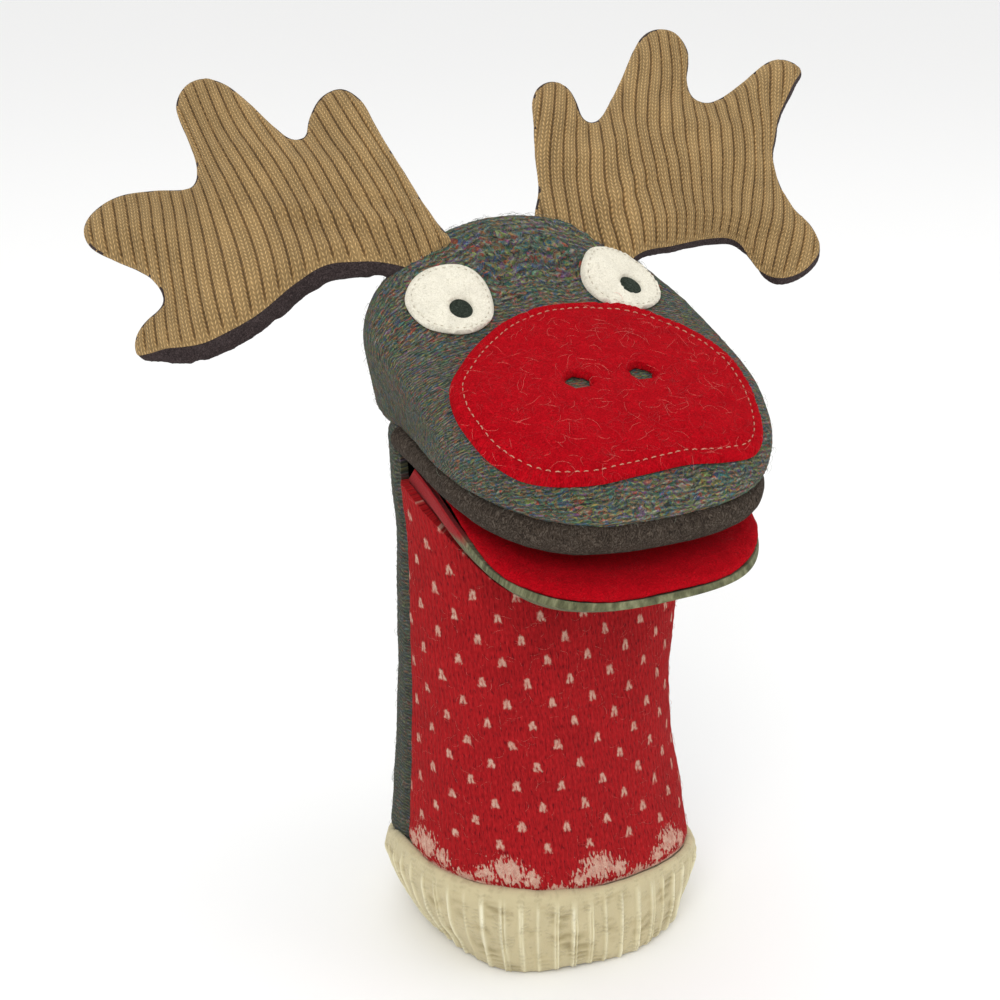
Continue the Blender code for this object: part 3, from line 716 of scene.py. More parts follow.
def olive_material():
    """The chin: olive heather knit, running out into red at the mouth's corners (w is 0)."""
    g = Graph("olive_knit")
    patches = g.noise(g.stretched(2.2, 1.0), 3)
    fibre = g.noise(g.stretched(0.35, 0.16), 3, 0.65, 0.5)
    ridge, bead = stitches_of(g, g.v, g.u, 2.1, 2.4)
    relief = ridge * (bead * 0.5 + 0.5)
    colour = g.palette(g.vivid(patches), ((0.065, 0.066, 0.036), (0.125, 0.130, 0.068), (0.235, 0.235, 0.135)))
    # relief * 0.25 is painted highlight on the stitch legs and painted shade between them.
    colour = g.scaled(colour, fibre * 0.9 + 0.45 + relief * 0.25)
    red = g.palette(g.vivid(fibre), ((0.14, 0.003, 0.005), (0.27, 0.006, 0.009),
                                     (0.38, 0.012, 0.015)))
    front = g.step(0.40, 0.62, g.w)
    colour = g.mix(front, red, colour)
    return g.finish(colour, relief * front * 0.8 + fibre * 0.5, 0.35, fuzz=0.06)


def cream_material():
    """The cuff: undyed rib knit, browner in the valleys as painted shade and paler on the ridges as painted
    highlight, with a few darker specks.
    """
    g = Graph("cream_rib")
    fibre = g.noise(g.stretched(0.22, 0.5), 3, 0.65, 0.6)
    cloudy = g.noise(g.stretched(9, 9), 2)
    purl = g.wave(g.v / 1.5 + g.noise(g.stretched(1.2, 2), 1) * 1.3)
    rough_patch = g.step(0.46, 0.62, g.noise(g.stretched(2.6, 5.0), 2))
    # w is the cuff's painted light: dark brown as painted shade in the valleys, pale cream as painted
    # highlight on the ridges
    colour = g.palette(g.w, ((0.34, 0.28, 0.145), (0.52, 0.445, 0.265), (0.66, 0.595, 0.385),
                             (0.86, 0.82, 0.62)))
    colour = g.scaled(colour, cloudy * 0.22 + 0.84 + fibre * 0.12)
    # painted shade in the sunken rough purl rows
    shade = purl * rough_patch
    colour = g.mix(shade * 0.30, colour, (0.33, 0.28, 0.16))
    specks = g.step(0.70, 0.78, g.noise(g.stretched(0.55, 0.55), 2))
    colour = g.mix(specks * 0.5, colour, (0.22, 0.18, 0.10))
    height = fibre * 0.6 + purl * rough_patch * -0.5
    return g.finish(colour, height, 0.45, fuzz=0.30, fuzz_colour=(1.0, 0.95, 0.8))


def felt_material(name, dark, middle, light, fuzz_colour, strands=0.22, strand_colour=None,
                  bump=0.30, fuzz=0.12):
    """Pressed felt: tangled fibres with no direction, and stray light hairs."""
    g = Graph(name)
    tangle = g.noise(g.stretched(1.1, 1.1), 2, 0.6, 2.6)
    fine = g.noise(g.stretched(0.18, 0.18), 3, 0.6, 0.8)
    cloudy = g.noise(g.stretched(7, 7), 3)
    distance, chance = g.cells(g.stretched(0.9, 0.9))
    colour = g.palette(g.vivid(tangle * 0.80 + fine * 0.20, 2.8), (dark, middle, light))
    colour = g.scaled(colour, g.vivid(cloudy) * 0.26 + 0.87)
    web = abs(g.noise(g.stretched(1.3, 1.3), 3, 0.6, 2.2) - 0.5)
    hair = g.step(0.010, 0.003, web) * g.step(0.52, 0.60, cloudy)
    colour = g.mix(hair * strands, colour, strand_colour or light)
    height = tangle * 0.8 + fine * 0.45 + hair * 0.3 + distance * -0.15
    return g.finish(colour, height, bump, roughness=0.97, fuzz=fuzz, fuzz_colour=fuzz_colour)


def camel_material():
    """The antlers' fronts: two-by-two rib, w is the height on the rib from 0 to 1, painted darker in the
    valleys as shade and lighter on the ribs as highlight.
    """
    g = Graph("camel_rib")
    bend = (g.noise(g.stretched(3, 3), 1) - 0.5) * 0.7
    half = abs(g.fraction(g.u / 1.95 + 0.5) - 0.5)
    leg = g.wave((half - 0.25) * 2.0)
    chain = g.wave(g.v / 1.45 - half * 1.5 + bend)
    fibre = g.noise(g.stretched(0.22, 0.35), 3, 0.65, 0.5)
    cloudy = g.noise(g.stretched(8, 11), 2)
    wales = g.vivid(g.noise(g.vector(g.u / 2.6, g.v / 24, 0.0), 2))
    # Painted shade and highlight: the colour follows the rib's height, darker in its valleys, lighter on its
    # crests.
    colour = g.palette(g.w + (fibre - 0.5) * 0.6,
                       ((0.20, 0.112, 0.040), (0.31, 0.182, 0.070), (0.400, 0.250, 0.102),
                        (0.46, 0.300, 0.130)))
    # leg * chain is a painted highlight on the crest of each stitch's V.
    colour = g.scaled(colour, leg * chain * 1.05 + 0.26 + g.vivid(cloudy) * 0.16
                      + g.vivid(fibre) * 0.26 + wales * 0.20)
    height = leg * (chain * 0.6 + 0.4) * 0.9 + fibre * 0.35
    return g.finish(colour, height, 0.75, fuzz=0.12, fuzz_colour=(1.0, 0.85, 0.6))


def thread_material(name, dark, middle, light):
    g = Graph(name)
    twist = g.wave(g.u / 0.5 + g.v / 0.3)
    # Painted shade in the grooves of the twist and painted highlight on its crests.
    colour = g.palette(twist, (dark, middle, light))
    return g.finish(colour, twist, 0.12, roughness=0.7, fuzz=0.1)


def buckram_material():
    """The stiffeners: an open plain weave, sized with starch."""
    g = Graph("buckram")
    weft, warp = g.wave(g.v / 0.9), g.wave(g.u / 0.9)
    weave = g.math("MAXIMUM", weft, warp)
    # Painted highlight on the yarns' crests and painted shade between them.
    colour = g.palette(weave, ((0.42, 0.38, 0.30), (0.70, 0.66, 0.56)))
    return g.finish(colour, weave, 0.2, roughness=0.8, fuzz=0.1)


def wadding_material():
    g = Graph("wadding")
    fluff = g.noise(g.stretched(1.4, 1.4), 4, 0.7, 1.5)
    colour = g.palette(fluff, ((0.70, 0.70, 0.68), (0.90, 0.90, 0.88)))
    return g.finish(colour, fluff, 0.8, roughness=1.0, fuzz=0.6)


MATERIALS = {
    "red_knit": red_knit_material(),
    "heather_knit": heather_material(),
    # the head's tweed darkened as painted shade, for the sleeve's back
    "charcoal_knit": shaded_heather_material(),
    "olive_knit": olive_material(),
    "cream_rib": cream_material(),
    "camel_rib": camel_material(),
    "red_felt": felt_material("red_felt", (0.26, 0.000, 0.003), (0.46, 0.001, 0.007),
                              (0.64, 0.004, 0.013), (1.0, 0.10, 0.10), 0.4, (0.80, 0.16, 0.14),
                              bump=0.75, fuzz=0.03),
    "brown_felt": felt_material("brown_felt", (0.010, 0.007, 0.005), (0.048, 0.035, 0.026),
                                (0.150, 0.120, 0.095), (0.8, 0.7, 0.6), 0.5, bump=1.0, fuzz=0.05),
    "dark_felt": felt_material("dark_felt", (0.014, 0.010, 0.010), (0.034, 0.024, 0.024),
                               (0.080, 0.060, 0.060), (0.7, 0.6, 0.6), bump=0.5),
    "ivory_felt": felt_material("ivory_felt", (0.56, 0.53, 0.42), (0.74, 0.70, 0.58),
                                (0.80, 0.77, 0.66), (1.0, 1.0, 1.0), 0.3, (0.88, 0.86, 0.76),
                                bump=0.20),
    "black_felt": felt_material("black_felt", (0.006, 0.008, 0.006), (0.016, 0.022, 0.016),
                                (0.050, 0.062, 0.048), (0.5, 0.6, 0.5)),
    "cream_thread": thread_material("cream_thread", (0.42, 0.14, 0.09), (0.60, 0.28, 0.19),
                                    (0.74, 0.45, 0.32)),
    "ivory_thread": thread_material("ivory_thread", (0.42, 0.37, 0.28), (0.62, 0.57, 0.46),
                                    (0.74, 0.69, 0.58)),
    "pink_fibre": thread_material("pink_fibre", (0.55, 0.04, 0.05), (0.68, 0.10, 0.09),
                                  (0.80, 0.26, 0.20)),
    "tweed_fibre": thread_material("tweed_fibre", (0.10, 0.12, 0.10), (0.20, 0.22, 0.16),
                                   (0.30, 0.32, 0.26)),
    "red_knit_fibre": thread_material("red_knit_fibre", (0.34, 0.02, 0.02), (0.50, 0.06, 0.05),
                                      (0.66, 0.22, 0.18)),
    "red_fibre": thread_material("red_fibre", (0.30, 0.002, 0.006), (0.50, 0.005, 0.012),
                                 (0.62, 0.02, 0.03)),
    "buckram": buckram_material(),
    "wadding": wadding_material(),
}

# ---------------------------------------------------------------- sleeve

FIBRES_PER_ROW = 3
PANEL_STEP = 0.0009             # spacing of the points of a panel
KNIT_STITCH = 0.0035            # one stitch of the front panel, and one row
KNIT_HEIGHT = 0.00034
BIAS = 0.10                     # how far the panel's wales lean over, per unit of height


def folds(points):
    """Soft unevenness of hand-felted cloth."""
    return (lumps(points, 0.034, 1) * 0.0011 + lumps(points, 0.015, 2) * 0.00035)


def seam_pinch(distance):
    """How far a seam draws the cloth in, at a distance along the cloth from it."""
    return -SEAM_PINCH * np.exp(-((distance / SEAM_REACH) ** 2))


def panel_grid(front, low_at, high_at):
    """The outer face of one stretch of a panel: points, length across, height and bearing."""
    start = math.pi if front else 0.0
    mid = SLEEVE_SECTIONS[4]
    columns = fit_coarse(int(1.68 * (mid[1] + mid[2]) / PANEL_STEP))
    angle, length = even_angles(start, start + math.pi, columns, mid[1], mid[2], SLEEVE_POWER)
    low, high = low_at(angle), high_at(angle)
    rows = fit_coarse(int(np.max(high - low) / PANEL_STEP) + 2)
    share = np.linspace(0, 1, rows)[:, None]
    height = low + (high - low) * share
    points = sleeve_surface(np.broadcast_to(angle, height.shape), height)
    along = np.broadcast_to(np.linspace(-length / 2, length / 2, columns), height.shape)
    return points, along, height, length, angle


def panel(name, material, front, low_at, high_at, pinch_low=False):
    points, along, height, length, angle = panel_grid(front, low_at, high_at)
    normals = grid_normals(points, False)
    lift = folds(points)
    lift += seam_pinch(length / 2 - np.abs(along))
    if pinch_low:
        lift += seam_pinch(height - height[0])
    u = along + BIAS * height
    # The rows of stitches set out along the cuff's seam and straighten further up
    seam = cuff_seam_height(np.clip(angle, 0, TURN - 1e-6))
    v = height - (seam - CUFF_SEAM_FRONT) * (1 - smooth_step(0.03, 0.11, height))
    felted = 0.55 + 0.45 * lumps(points, 0.009, 3)
    if front:
        lift += KNIT_HEIGHT * felted * knit_relief(u, v, KNIT_STITCH, KNIT_STITCH)
    else:
        lift += KNIT_HEIGHT * felted * knit_relief(v, u, 0.0026, 0.0026)
    lift += lumps(points, 0.0022, 4) * 0.00012
    points = points + normals * lift[..., None]
    cloth = np.stack((u, v, np.zeros_like(u)), -1)
    return shell(name, points, cloth, MATERIALS[material]), points, normals


def level(height):
    return lambda angle: np.full_like(angle, height)


def sleeve(rng):
    stretches = (
        ("lower", cuff_seam_height, level(TWIST_CUT), level(TWIST_CUT), ("sleeve", "waist"),
         (0, 0, 0.030), (0, 0, TWIST_CUT - 0.002)),
        ("middle", level(TWIST_CUT), level(TILT_CUT), level(TILT_CUT), ("waist", "neck"),
         (0, 0, TWIST_CUT + 0.001), (0, 0, TILT_CUT - 0.001)),
        ("upper", level(TILT_CUT), throat_height, level(NECK_HEIGHT + NECK_TUCK), ("neck", "head"),
         (0, 0, 0.1007), (0, -0.0188, 0.1321)),
    )
    for stretch, low, front_high, back_high, bodies, start, end in stretches:
        pinch = stretch == "lower"
        # The back panels wear the head's tweed darkened as painted shade.
        for side, material, front, high in (("front", "red_knit", True, front_high),
                                            ("back", "charcoal_knit", False, back_high)):
            node = f"{side}_panel_{stretch}"
            piece, points, normals = panel(f"{node}_cloth", material, front, low, high, pinch)
            finish_piece(piece, bodies, (node,))
            hair = "red_knit_fibre" if front else "tweed_fibre"
            hairs = grid_fibres(f"{node}_fibres", hair, points, normals,
                                len(points) * FIBRES_PER_ROW, 0.0040, 0.0009, rng)
            finish_piece(hairs, bodies, (node,))


# ---------------------------------------------------------------- cuff

CUFF_RIB = 0.0056
CUFF_COLUMNS = 620
CUFF_WALL = 0.0042


# How far the hem stands out from the sleeve's lowest section, at angles round it in degrees
CUFF_HEM = ((0, -0.0020), (90, 0.0005), (160, -0.0020), (185, -0.0032), (205, -0.0015),
            (220, 0.0015), (235, 0.0042), (252, 0.0062), (275, 0.0070), (295, 0.0056),
            (320, 0.0022), (340, -0.0006), (360, -0.0020))


def cuff_profile():
    """Rows of the cuff: its height as a share of the seam's, and its offset from the sleeve.

    They run down the outside, round the rolled hem and up the inside.
    """
    outside = ((0.95, -0.0020), (1.0, -0.0006), (0.99, 0.0008), (0.95, 0.0015), (0.84, 0.0018),
               (0.66, 0.0010), (0.46, 0.0000), (0.26, -0.0004), (0.12, -0.0002), (0.035, -0.0006))
    hem = ((0.0, -0.0019), (0.0, -0.0036))
    inside = ((0.03, -0.0050), (0.12, -0.0056), (0.30, -0.0052), (0.55, -0.0050),
              (0.80, -0.0052), (0.95, -0.0060))
    return np.array(outside + hem + inside)


def cuff():
    knots = cuff_profile()
    rows = np.linspace(0, len(knots) - 1, 84)
    share, offset = smooth_curve(range(len(knots)), knots, rows).T
    share = np.clip(share, 0, 1)
    mid = SLEEVE_SECTIONS[2]
    angle, length = even_angles(0, TURN, CUFF_COLUMNS + 1, mid[1], mid[2], SLEEVE_POWER)
    angle = angle[:-1]
    along = np.linspace(0, length, CUFF_COLUMNS + 1)[:-1]
    height = share[:, None] * cuff_seam_height(angle)
    bearings, stand = np.radians([entry[0] for entry in CUFF_HEM]), [e[1] for e in CUFF_HEM]
    hem = np.interp(angle, bearings, stand)
    hem = np.convolve(np.concatenate((hem[-12:], hem, hem[:12])), np.ones(25) / 25, "valid")
    low = 1 - smooth_step(0.0, 0.85, share)
    inset = -low[:, None] * hem - offset[:, None]
    points = sleeve_surface(np.broadcast_to(angle, height.shape), height, inset)
    outward = -grid_normals(points, True)
    # Narrow ridges, some of them double, with flat knit between
    ribs = round(length / CUFF_RIB)
    phase = along / length * ribs + 0.16 * lumps(points * (1, 1, 0.25), 0.014, 5)
    number = np.floor(phase + 0.5)
    strength = 0.75 + 0.25 * np.sin(number * 12.9898) * np.cos(number * 4.1)
    twin = (np.sin(number * 7.77) > -0.3) * 0.75
    beside = 0.17 + 0.06 * np.sin(number * 3.3)
    across = phase - number
    ridge = strength * np.exp(-((across / 0.075) ** 2))
    ridge += twin * np.exp(-(((np.abs(across) - beside) / 0.050) ** 2)) * (across > 0)
    ridge *= 0.75 + 0.25 * lumps(points, 0.008, 6)
    flat = smooth_step(0.97, 0.80, share) * smooth_step(0.0, 0.06, share)
    ridge = ridge * flat[:, None]
    purl = 0.5 + 0.5 * np.cos(height / 0.0016 * TURN + 2.5 * lumps(points, 0.004, 9))
    rough = np.clip(lumps(points, 0.007, 10) * 2, 0, 1) * flat[:, None] * (1 - np.clip(ridge, 0, 1))
    lift = ridge * 0.00140 - purl * rough * 0.00045
    lift += lumps(points, 0.020, 7) * 0.0011 + lumps(points, 0.006, 8) * 0.0003
    points = points + outward * lift[..., None]
    points[..., 2] = np.maximum(points[..., 2], 0)
    # Painted light for the cream material: highlight on the raised ridges, shade where the rough purl rows
    # sink in.
    painted_ridge_light = np.clip(0.40 + ridge * 0.85 - purl * rough * 0.45, 0, 1)
    cloth = np.stack((np.broadcast_to(along, painted_ridge_light.shape), height, painted_ridge_light * MM), -1)
    faces = grid_faces(len(rows), CUFF_COLUMNS, True, True, flip=True)
    piece = mesh_object("cuff_rib", points.reshape(-1, 3), faces, cloth.reshape(-1, 3),
                        MATERIALS["cream_rib"])
    finish_piece(piece, "sleeve", ("cuff_band",))


# ---------------------------------------------------------------- head

HEAD_COLUMNS = 320
HEAD_ROWS = 161
HEAD_AXIS = (-0.005, 0.150)     # Y and Z of the line that the knit's rows turn about
HEAD_ROW_RADIUS = 0.065
# Where the head sinks in or bulges: each spot's middle, its half sizes and the depth
HEAD_HOLLOWS = (((-0.054, -0.002, 0.183), (0.014, 0.030, 0.017), 0.0042),
                ((0.051, -0.042, 0.190), (0.013, 0.030, 0.016), -0.0026))


def head_cloth(points):
    """Cloth coordinate round an axis from side to side, so that rows lie across the head."""
    y, z = points[..., 1] - HEAD_AXIS[0], points[..., 2] - HEAD_AXIS[1]
    turn = np.arctan2(z, -y)
    return np.stack((points[..., 0], turn * HEAD_ROW_RADIUS, np.hypot(y, z)), -1)


def head_hollow(points):
    """How far the head sinks in, over the mouth's right corner, or bulges, at the left lip."""
    depth = 0
    for middle, sizes, deepest in HEAD_HOLLOWS:
        depth = depth + deepest * np.exp(-(((points - middle) / sizes) ** 2).sum(-1))
    return depth


def head(rng):
    """The head's cloth, and a smooth copy of its surface for the felts to lie on."""
    angle = np.linspace(0, TURN, HEAD_COLUMNS + 1)[:-1]
    rise = np.linspace(0, 1, HEAD_ROWS)
    smooth = head_surface(angle, rise)
    normals = grid_normals(smooth, True)
    normals[-1] = (0, 0, 1)
    cloth = head_cloth(smooth)
    edge = np.exp(-((rise * 90 / 2.2) ** 2))[:, None]       # the rolled edge of the lip
    lift = -0.0012 * edge + lumps(smooth, 0.030, 11) * 0.0009 + lumps(smooth, 0.011, 12) * 0.0003
    felted = 0.50 + 0.50 * lumps(smooth, 0.010, 13)
    wander = lumps(smooth, 0.013, 14) * 0.0012
    lift = lift + 0.00030 * felted * knit_relief(cloth[..., 1] + wander, cloth[..., 0] + wander,
                                                 0.0026, 0.0026)
    lift = lift + lumps(smooth, 0.0020, 15) * 0.00014
    hollow = head_hollow(smooth)
    lift = lift - hollow
    lift[-1] = lift[-2].mean()
    points = smooth + normals * lift[..., None]
    piece = shell("head_cloth", points, cloth, MATERIALS["heather_knit"], True, 0.0028, True)
    finish_piece(piece, "head", ("head_top_panel",))
    hairs = grid_fibres("head_fibres", "tweed_fibre", points[2:-12], normals[2:-12], 900, 0.0042,
                        0.0011, rng)
    finish_piece(hairs, "head", ("head_top_panel",))
    soft = smooth + normals * (lumps(smooth, 0.030, 11) * 0.0009 - hollow)[..., None]
    faces = grid_faces(HEAD_ROWS, HEAD_COLUMNS, True)
    return BVHTree.FromPolygons([Vector(p) for p in soft.reshape(-1, 3)], faces)


# ---------------------------------------------------------------- mouth


def lining(name, material, lip, profile, body, node, pinch, thin):
    """A padded felt plate: a profile of share of the lip and drop, swept round the lip.

    At the mouth's corners it is drawn in by pinch and its rim keeps thin of its height.
    """
    angle = np.linspace(math.pi, TURN, 177)
    knots = np.array(profile)
    rows = np.linspace(0, len(knots) - 1, 89)
    share, drop = smooth_curve(range(len(knots)), knots, rows).T
    full = corner_fade(angle)
    points = np.stack([lip_surface(lip, angle, s * (1 - pinch + pinch * full)) for s in share])
    points[..., 2] -= drop[:, None] * (thin + (1 - thin) * full)
    if body == "lower_jaw":
        points[..., 2] -= 0.0010 * (1 - full)
    normals = grid_normals(points, False)
    lift = lumps(points, 0.018, 21) * 0.0005 + lumps(points, 0.0024, 22) * 0.00022
    points = points + normals * lift[..., None]
    cloth = points.copy()
    piece = shell(name, points, cloth, MATERIALS[material], thickness=0.0016)
    finish_piece(piece, body, (node,))


def linings():
    upper = ((0.90, 0.0010), (0.955, 0.0006), (0.985, 0.0016), (0.992, 0.0038), (0.975, 0.0066),
             (0.935, 0.0081), (0.86, 0.0068), (0.60, 0.0056), (0.30, 0.0053), (0.02, 0.0052))
    lining("upper_mouth_felt", "brown_felt", UPPER_LIP, upper, "head", "upper_mouth_lining",
           0.04, 0.72)
    lower = ((0.02, 0.0), (0.30, 0.0), (0.60, 0.0003), (0.85, 0.0008), (0.945, 0.0012),
             (0.985, 0.0021), (1.0, 0.0034), (0.992, 0.0050), (0.96, 0.0060), (0.90, 0.0060))
    lining("lower_mouth_felt", "red_felt", LOWER_LIP, lower[::-1], "lower_jaw",
           "lower_mouth_lining", 0.15, 0.20)


CHIN_TUCK = 0.0065              # how far the chin's end runs down inside the front panel
CHIN_TUCK_INSET = 0.0030


def chin():
    """The knitted chin: from under the lower lip back to the throat.

    It swings with the jaw, so its end is tucked down inside the front panel of the sleeve.
    """
    angle = np.linspace(math.pi + 0.02, TURN - 0.02, 201)
    full = corner_fade(angle)
    pinch = (0.90 + 0.10 * full)[:, None] * (1, 1, 0) + (0, 0, 1)
    lip = lip_surface(LOWER_LIP, angle, 1.0) * pinch
    lip[:, 2] -= 0.0049 * (0.25 + 0.75 * full)
    edge = lip_surface(LOWER_LIP, angle, 1.008) * pinch
    edge[:, 2] -= 0.0068 * (0.25 + 0.75 * full)
    throat = sleeve_surface(angle, throat_height(angle) + 0.0004, CHIN_TUCK_INSET)
    tucked = sleeve_surface(angle, throat_height(angle) - CHIN_TUCK, CHIN_TUCK_INSET)
    sag = np.array((0, 0, -0.0045)) * np.abs(np.sin(angle))[:, None]
    bend = (edge + throat) / 2 + sag
    rows = []
    for t in np.linspace(0, 1, 76):
        rows.append(edge * (1 - t) ** 2 + bend * 2 * t * (1 - t) + throat * t ** 2)
    rows += [throat * (1 - t) + tucked * t for t in np.linspace(0, 1, 13)[1:]]
    points = np.stack([lip * 0.995 + edge * 0.005] + rows)[::-1]
    normals = grid_normals(points, False)
    lift = lumps(points, 0.02, 31) * 0.0006
    points = points + normals * lift[..., None]
    cloth = points.copy()
    cloth[..., 2] = full * MM
    piece = shell("chin_cloth", points, cloth, MATERIALS["olive_knit"], thickness=0.0022)
    finish_piece(piece, "lower_jaw", ("jaw_underside_panel",))


# ---------------------------------------------------------------- flat felts and threads


def felt_frame(point, normal):
    """A frame on the cloth, with +Z away from it and +X level."""
    z = Vector(normal).normalized()
    x = Vector((0, 0, 1)).cross(z).normalized()
    rotation = Matrix((x, z.cross(x), z)).transposed().to_4x4()
    return Matrix.Translation(point) @ rotation


def closed_curve(points, spacing):
    """Evenly spaced points of a smooth closed curve through the given ones."""
    points = np.asarray(points, float)
    around = np.concatenate((points[-3:], points, points[:3]))
    length = np.concatenate(([0], np.cumsum(np.linalg.norm(np.diff(around, axis=0), axis=1))))
    fine = np.linspace(length[3], length[-3], 3000)
    curve = smooth_curve(length, around, fine)
    run = np.concatenate(([0], np.cumsum(np.linalg.norm(np.diff(curve, axis=0), axis=1))))
    count = int(run[-1] / spacing)
    steps = np.linspace(0, run[-1], count + 1)[:-1]
    return np.stack([np.interp(steps, run, curve[:, i]) for i in range(2)], -1)


def inside(points, outline):
    """Whether each point is inside a closed outline."""
    x, y = points[:, 0:1], points[:, 1:2]
    x0, y0 = outline.T
    x1, y1 = np.roll(outline, -1, 0).T
    crosses = (y0 > y) != (y1 > y)
    at = x0 + (y - y0) / np.where(y1 == y0, 1e-12, y1 - y0) * (x1 - x0)
    return (crosses & (x < at)).sum(1) % 2 == 1


def edge_distance(points, outlines):
    """Distance from each point to the nearest point of any outline."""
    edges = np.concatenate(outlines)
    best = np.full(len(points), 1e9)
    for start in range(0, len(points), 500):
        block = points[start:start + 500]
        best[start:start + 500] = np.linalg.norm(block[:, None] - edges[None], axis=-1).min(1)
    return best


def filled(outlines, spacing, lines=()):
    """Points and triangles of an even net that fills the first outline, less the others.

    lines are open paths inside that edges have to follow.
    """
    border = np.concatenate(outlines)
    low, high = outlines[0].min(0), outlines[0].max(0)
    net = []
    rows = int((high[1] - low[1]) / (spacing * 0.866)) + 1
    for j in range(rows):
        y = low[1] + j * spacing * 0.866
        for i in range(int((high[0] - low[0]) / spacing) + 2):
            net.append((low[0] + (i + 0.5 * (j % 2)) * spacing, y))
    net = np.array(net)
    keep = inside(net, outlines[0])
    for hole in outlines[1:]:
        keep &= ~inside(net, hole)
    net = net[keep]
    net = net[edge_distance(net, list(outlines) + list(lines)) > spacing * 0.62]
    points = np.concatenate((border, *lines, net))
    edges, start = [], len(border)
    for line in lines:
        edges += [(start + i, start + i + 1) for i in range(len(line) - 1)]
        start += len(line)
    start = 0
    for outline in outlines:
        count = len(outline)
        edges += [(start + i, start + (i + 1) % count) for i in range(count)]
        start += count
    made = delaunay_2d_cdt([Vector(p) for p in points], edges, [], 1, 1e-7)
    triangles = np.array([list(face) for face in made[2] if len(face) == 3])
    points = np.array([tuple(p) for p in made[0]])
    middle = points[triangles].mean(1)
    keep = inside(middle, outlines[0])
    for hole in outlines[1:]:
        keep &= ~inside(middle, hole)
    triangles = triangles[keep]
    a, b, c = (points[triangles[:, i]] for i in range(3))
    area = (b[:, 0] - a[:, 0]) * (c[:, 1] - a[:, 1]) - (b[:, 1] - a[:, 1]) * (c[:, 0] - a[:, 0])
    triangles[area < 0] = triangles[area < 0][:, ::-1]
    return points, triangles


def border_edges(triangles):
    """Directed edges that belong to one triangle only."""
    edges = {}
    for a, b, c in triangles:
        for edge in ((a, b), (b, c), (c, a)):
            edges[edge] = True
    return [edge for edge in edges if (edge[1], edge[0]) not in edges]


def drape(points, matrix, surface, reach=0.03):
    """Where flat points land when they are dropped along their frame's Z onto the surface."""
    down = -(matrix.to_3x3() @ Vector((0, 0, 1)))
    landed = []
    for x, y in points:
        start = matrix @ Vector((x, y, reach))
        hit = surface.ray_cast(start, down)[0]
        landed.append(hit if hit is not None else start + down * reach)
    return np.array([tuple(p) for p in landed])


def felt_patch(name, material, outlines, spacing, matrix, surface, gap, height_at):
    """A sheet of felt on the head.  height_at gives its thickness at a distance from its edge."""
    flat, triangles = filled(outlines, spacing)
    distance = edge_distance(flat, [densified(o) for o in outlines])
    ground = drape(flat, matrix, surface)
    away = np.array(matrix.to_3x3() @ Vector((0, 0, 1)))
    thickness = height_at(flat, distance)
    top = ground + away * (gap + thickness)[:, None]
    bottom = ground + away * gap
    count = len(flat)
    faces = triangles.tolist() + (triangles[:, ::-1] + count).tolist()
    for a, b in border_edges(triangles):
        faces.append([b, a, a + count, b + count])
    cloth = np.concatenate((flat, flat))
    cloth = np.concatenate((cloth, np.zeros((len(cloth), 1))), 1)
    piece = mesh_object(name, np.concatenate((top, bottom)), faces, cloth, MATERIALS[material])
    tree = BVHTree.FromPolygons([Vector(p) for p in top], triangles.tolist())
    return piece, tree


def densified(outline, count=4):
    """An outline with extra points along each of its edges."""
    following = np.roll(outline, -1, 0)
    shares = np.arange(count)[:, None, None] / count
    return (outline + (following - outline) * shares).reshape(-1, 2)


def tube(path, radii, sides=6):
    """Vertices and faces of a closed round tube along a path."""
    path = np.asarray(path)
    along = np.gradient(path, axis=0)
    along /= np.linalg.norm(along, axis=1, keepdims=True)
    guide = np.array((0.31, 0.52, 0.79))
    side = np.cross(along, guide)
    side /= np.linalg.norm(side, axis=1, keepdims=True)
    other = np.cross(along, side)
    turn = np.arange(sides) * TURN / sides
    ring = side[:, None] * np.cos(turn)[None, :, None] + other[:, None] * np.sin(turn)[None, :, None]
    vertices = (path[:, None] + ring * np.asarray(radii)[:, None, None]).reshape(-1, 3)
    faces = grid_faces(len(path), sides, True)
    faces.append(list(reversed(range(sides))))
    faces.append([(len(path) - 1) * sides + i for i in range(sides)])
    return vertices, faces


def joined_tubes(name, paths, radii, material, sides=6, along_scale=1.0):
    """One piece made of many closed tubes, such as a row of stitches or loose fibres."""
    vertices, faces, cloth = [], [], []
    for path, radius in zip(paths, radii):
        made, quads = tube(path, radius, sides)
        start = len(vertices)
        vertices.extend(made)
        faces.extend([[i + start for i in face] for face in quads])
        cloth.extend(made)
    return mesh_object(name, vertices, faces, cloth, MATERIALS[material])


def stitch_row(flat_path, matrix, tree, length, space, radius, sink, rng):
    """Paths and radii of single stitches along a flat closed path, each dipping at its ends."""
    away = np.array(matrix.to_3x3() @ Vector((0, 0, 1)))
    run = np.concatenate((flat_path, flat_path[:1]))
    lengths = np.concatenate(([0], np.cumsum(np.linalg.norm(np.diff(run, axis=0), axis=1))))
    count = int(lengths[-1] / (length + space))
    paths, radii = [], []
    for i in range(count):
        start = (i + rng.uniform(-0.08, 0.08)) * lengths[-1] / count
        steps = start + np.linspace(0, length * rng.uniform(0.85, 1.05), 7)
        spots = np.stack([np.interp(steps % lengths[-1], lengths, run[:, k]) for k in (0, 1)], -1)
        ground = drape(spots, matrix, tree)
        arch = np.sin(np.linspace(0, math.pi, 7)) ** 0.6
        paths.append(ground + away * (arch * (radius * 0.9 + sink) - sink)[:, None])
        radii.append(radius * (0.45 + 0.55 * arch))
    return paths, radii


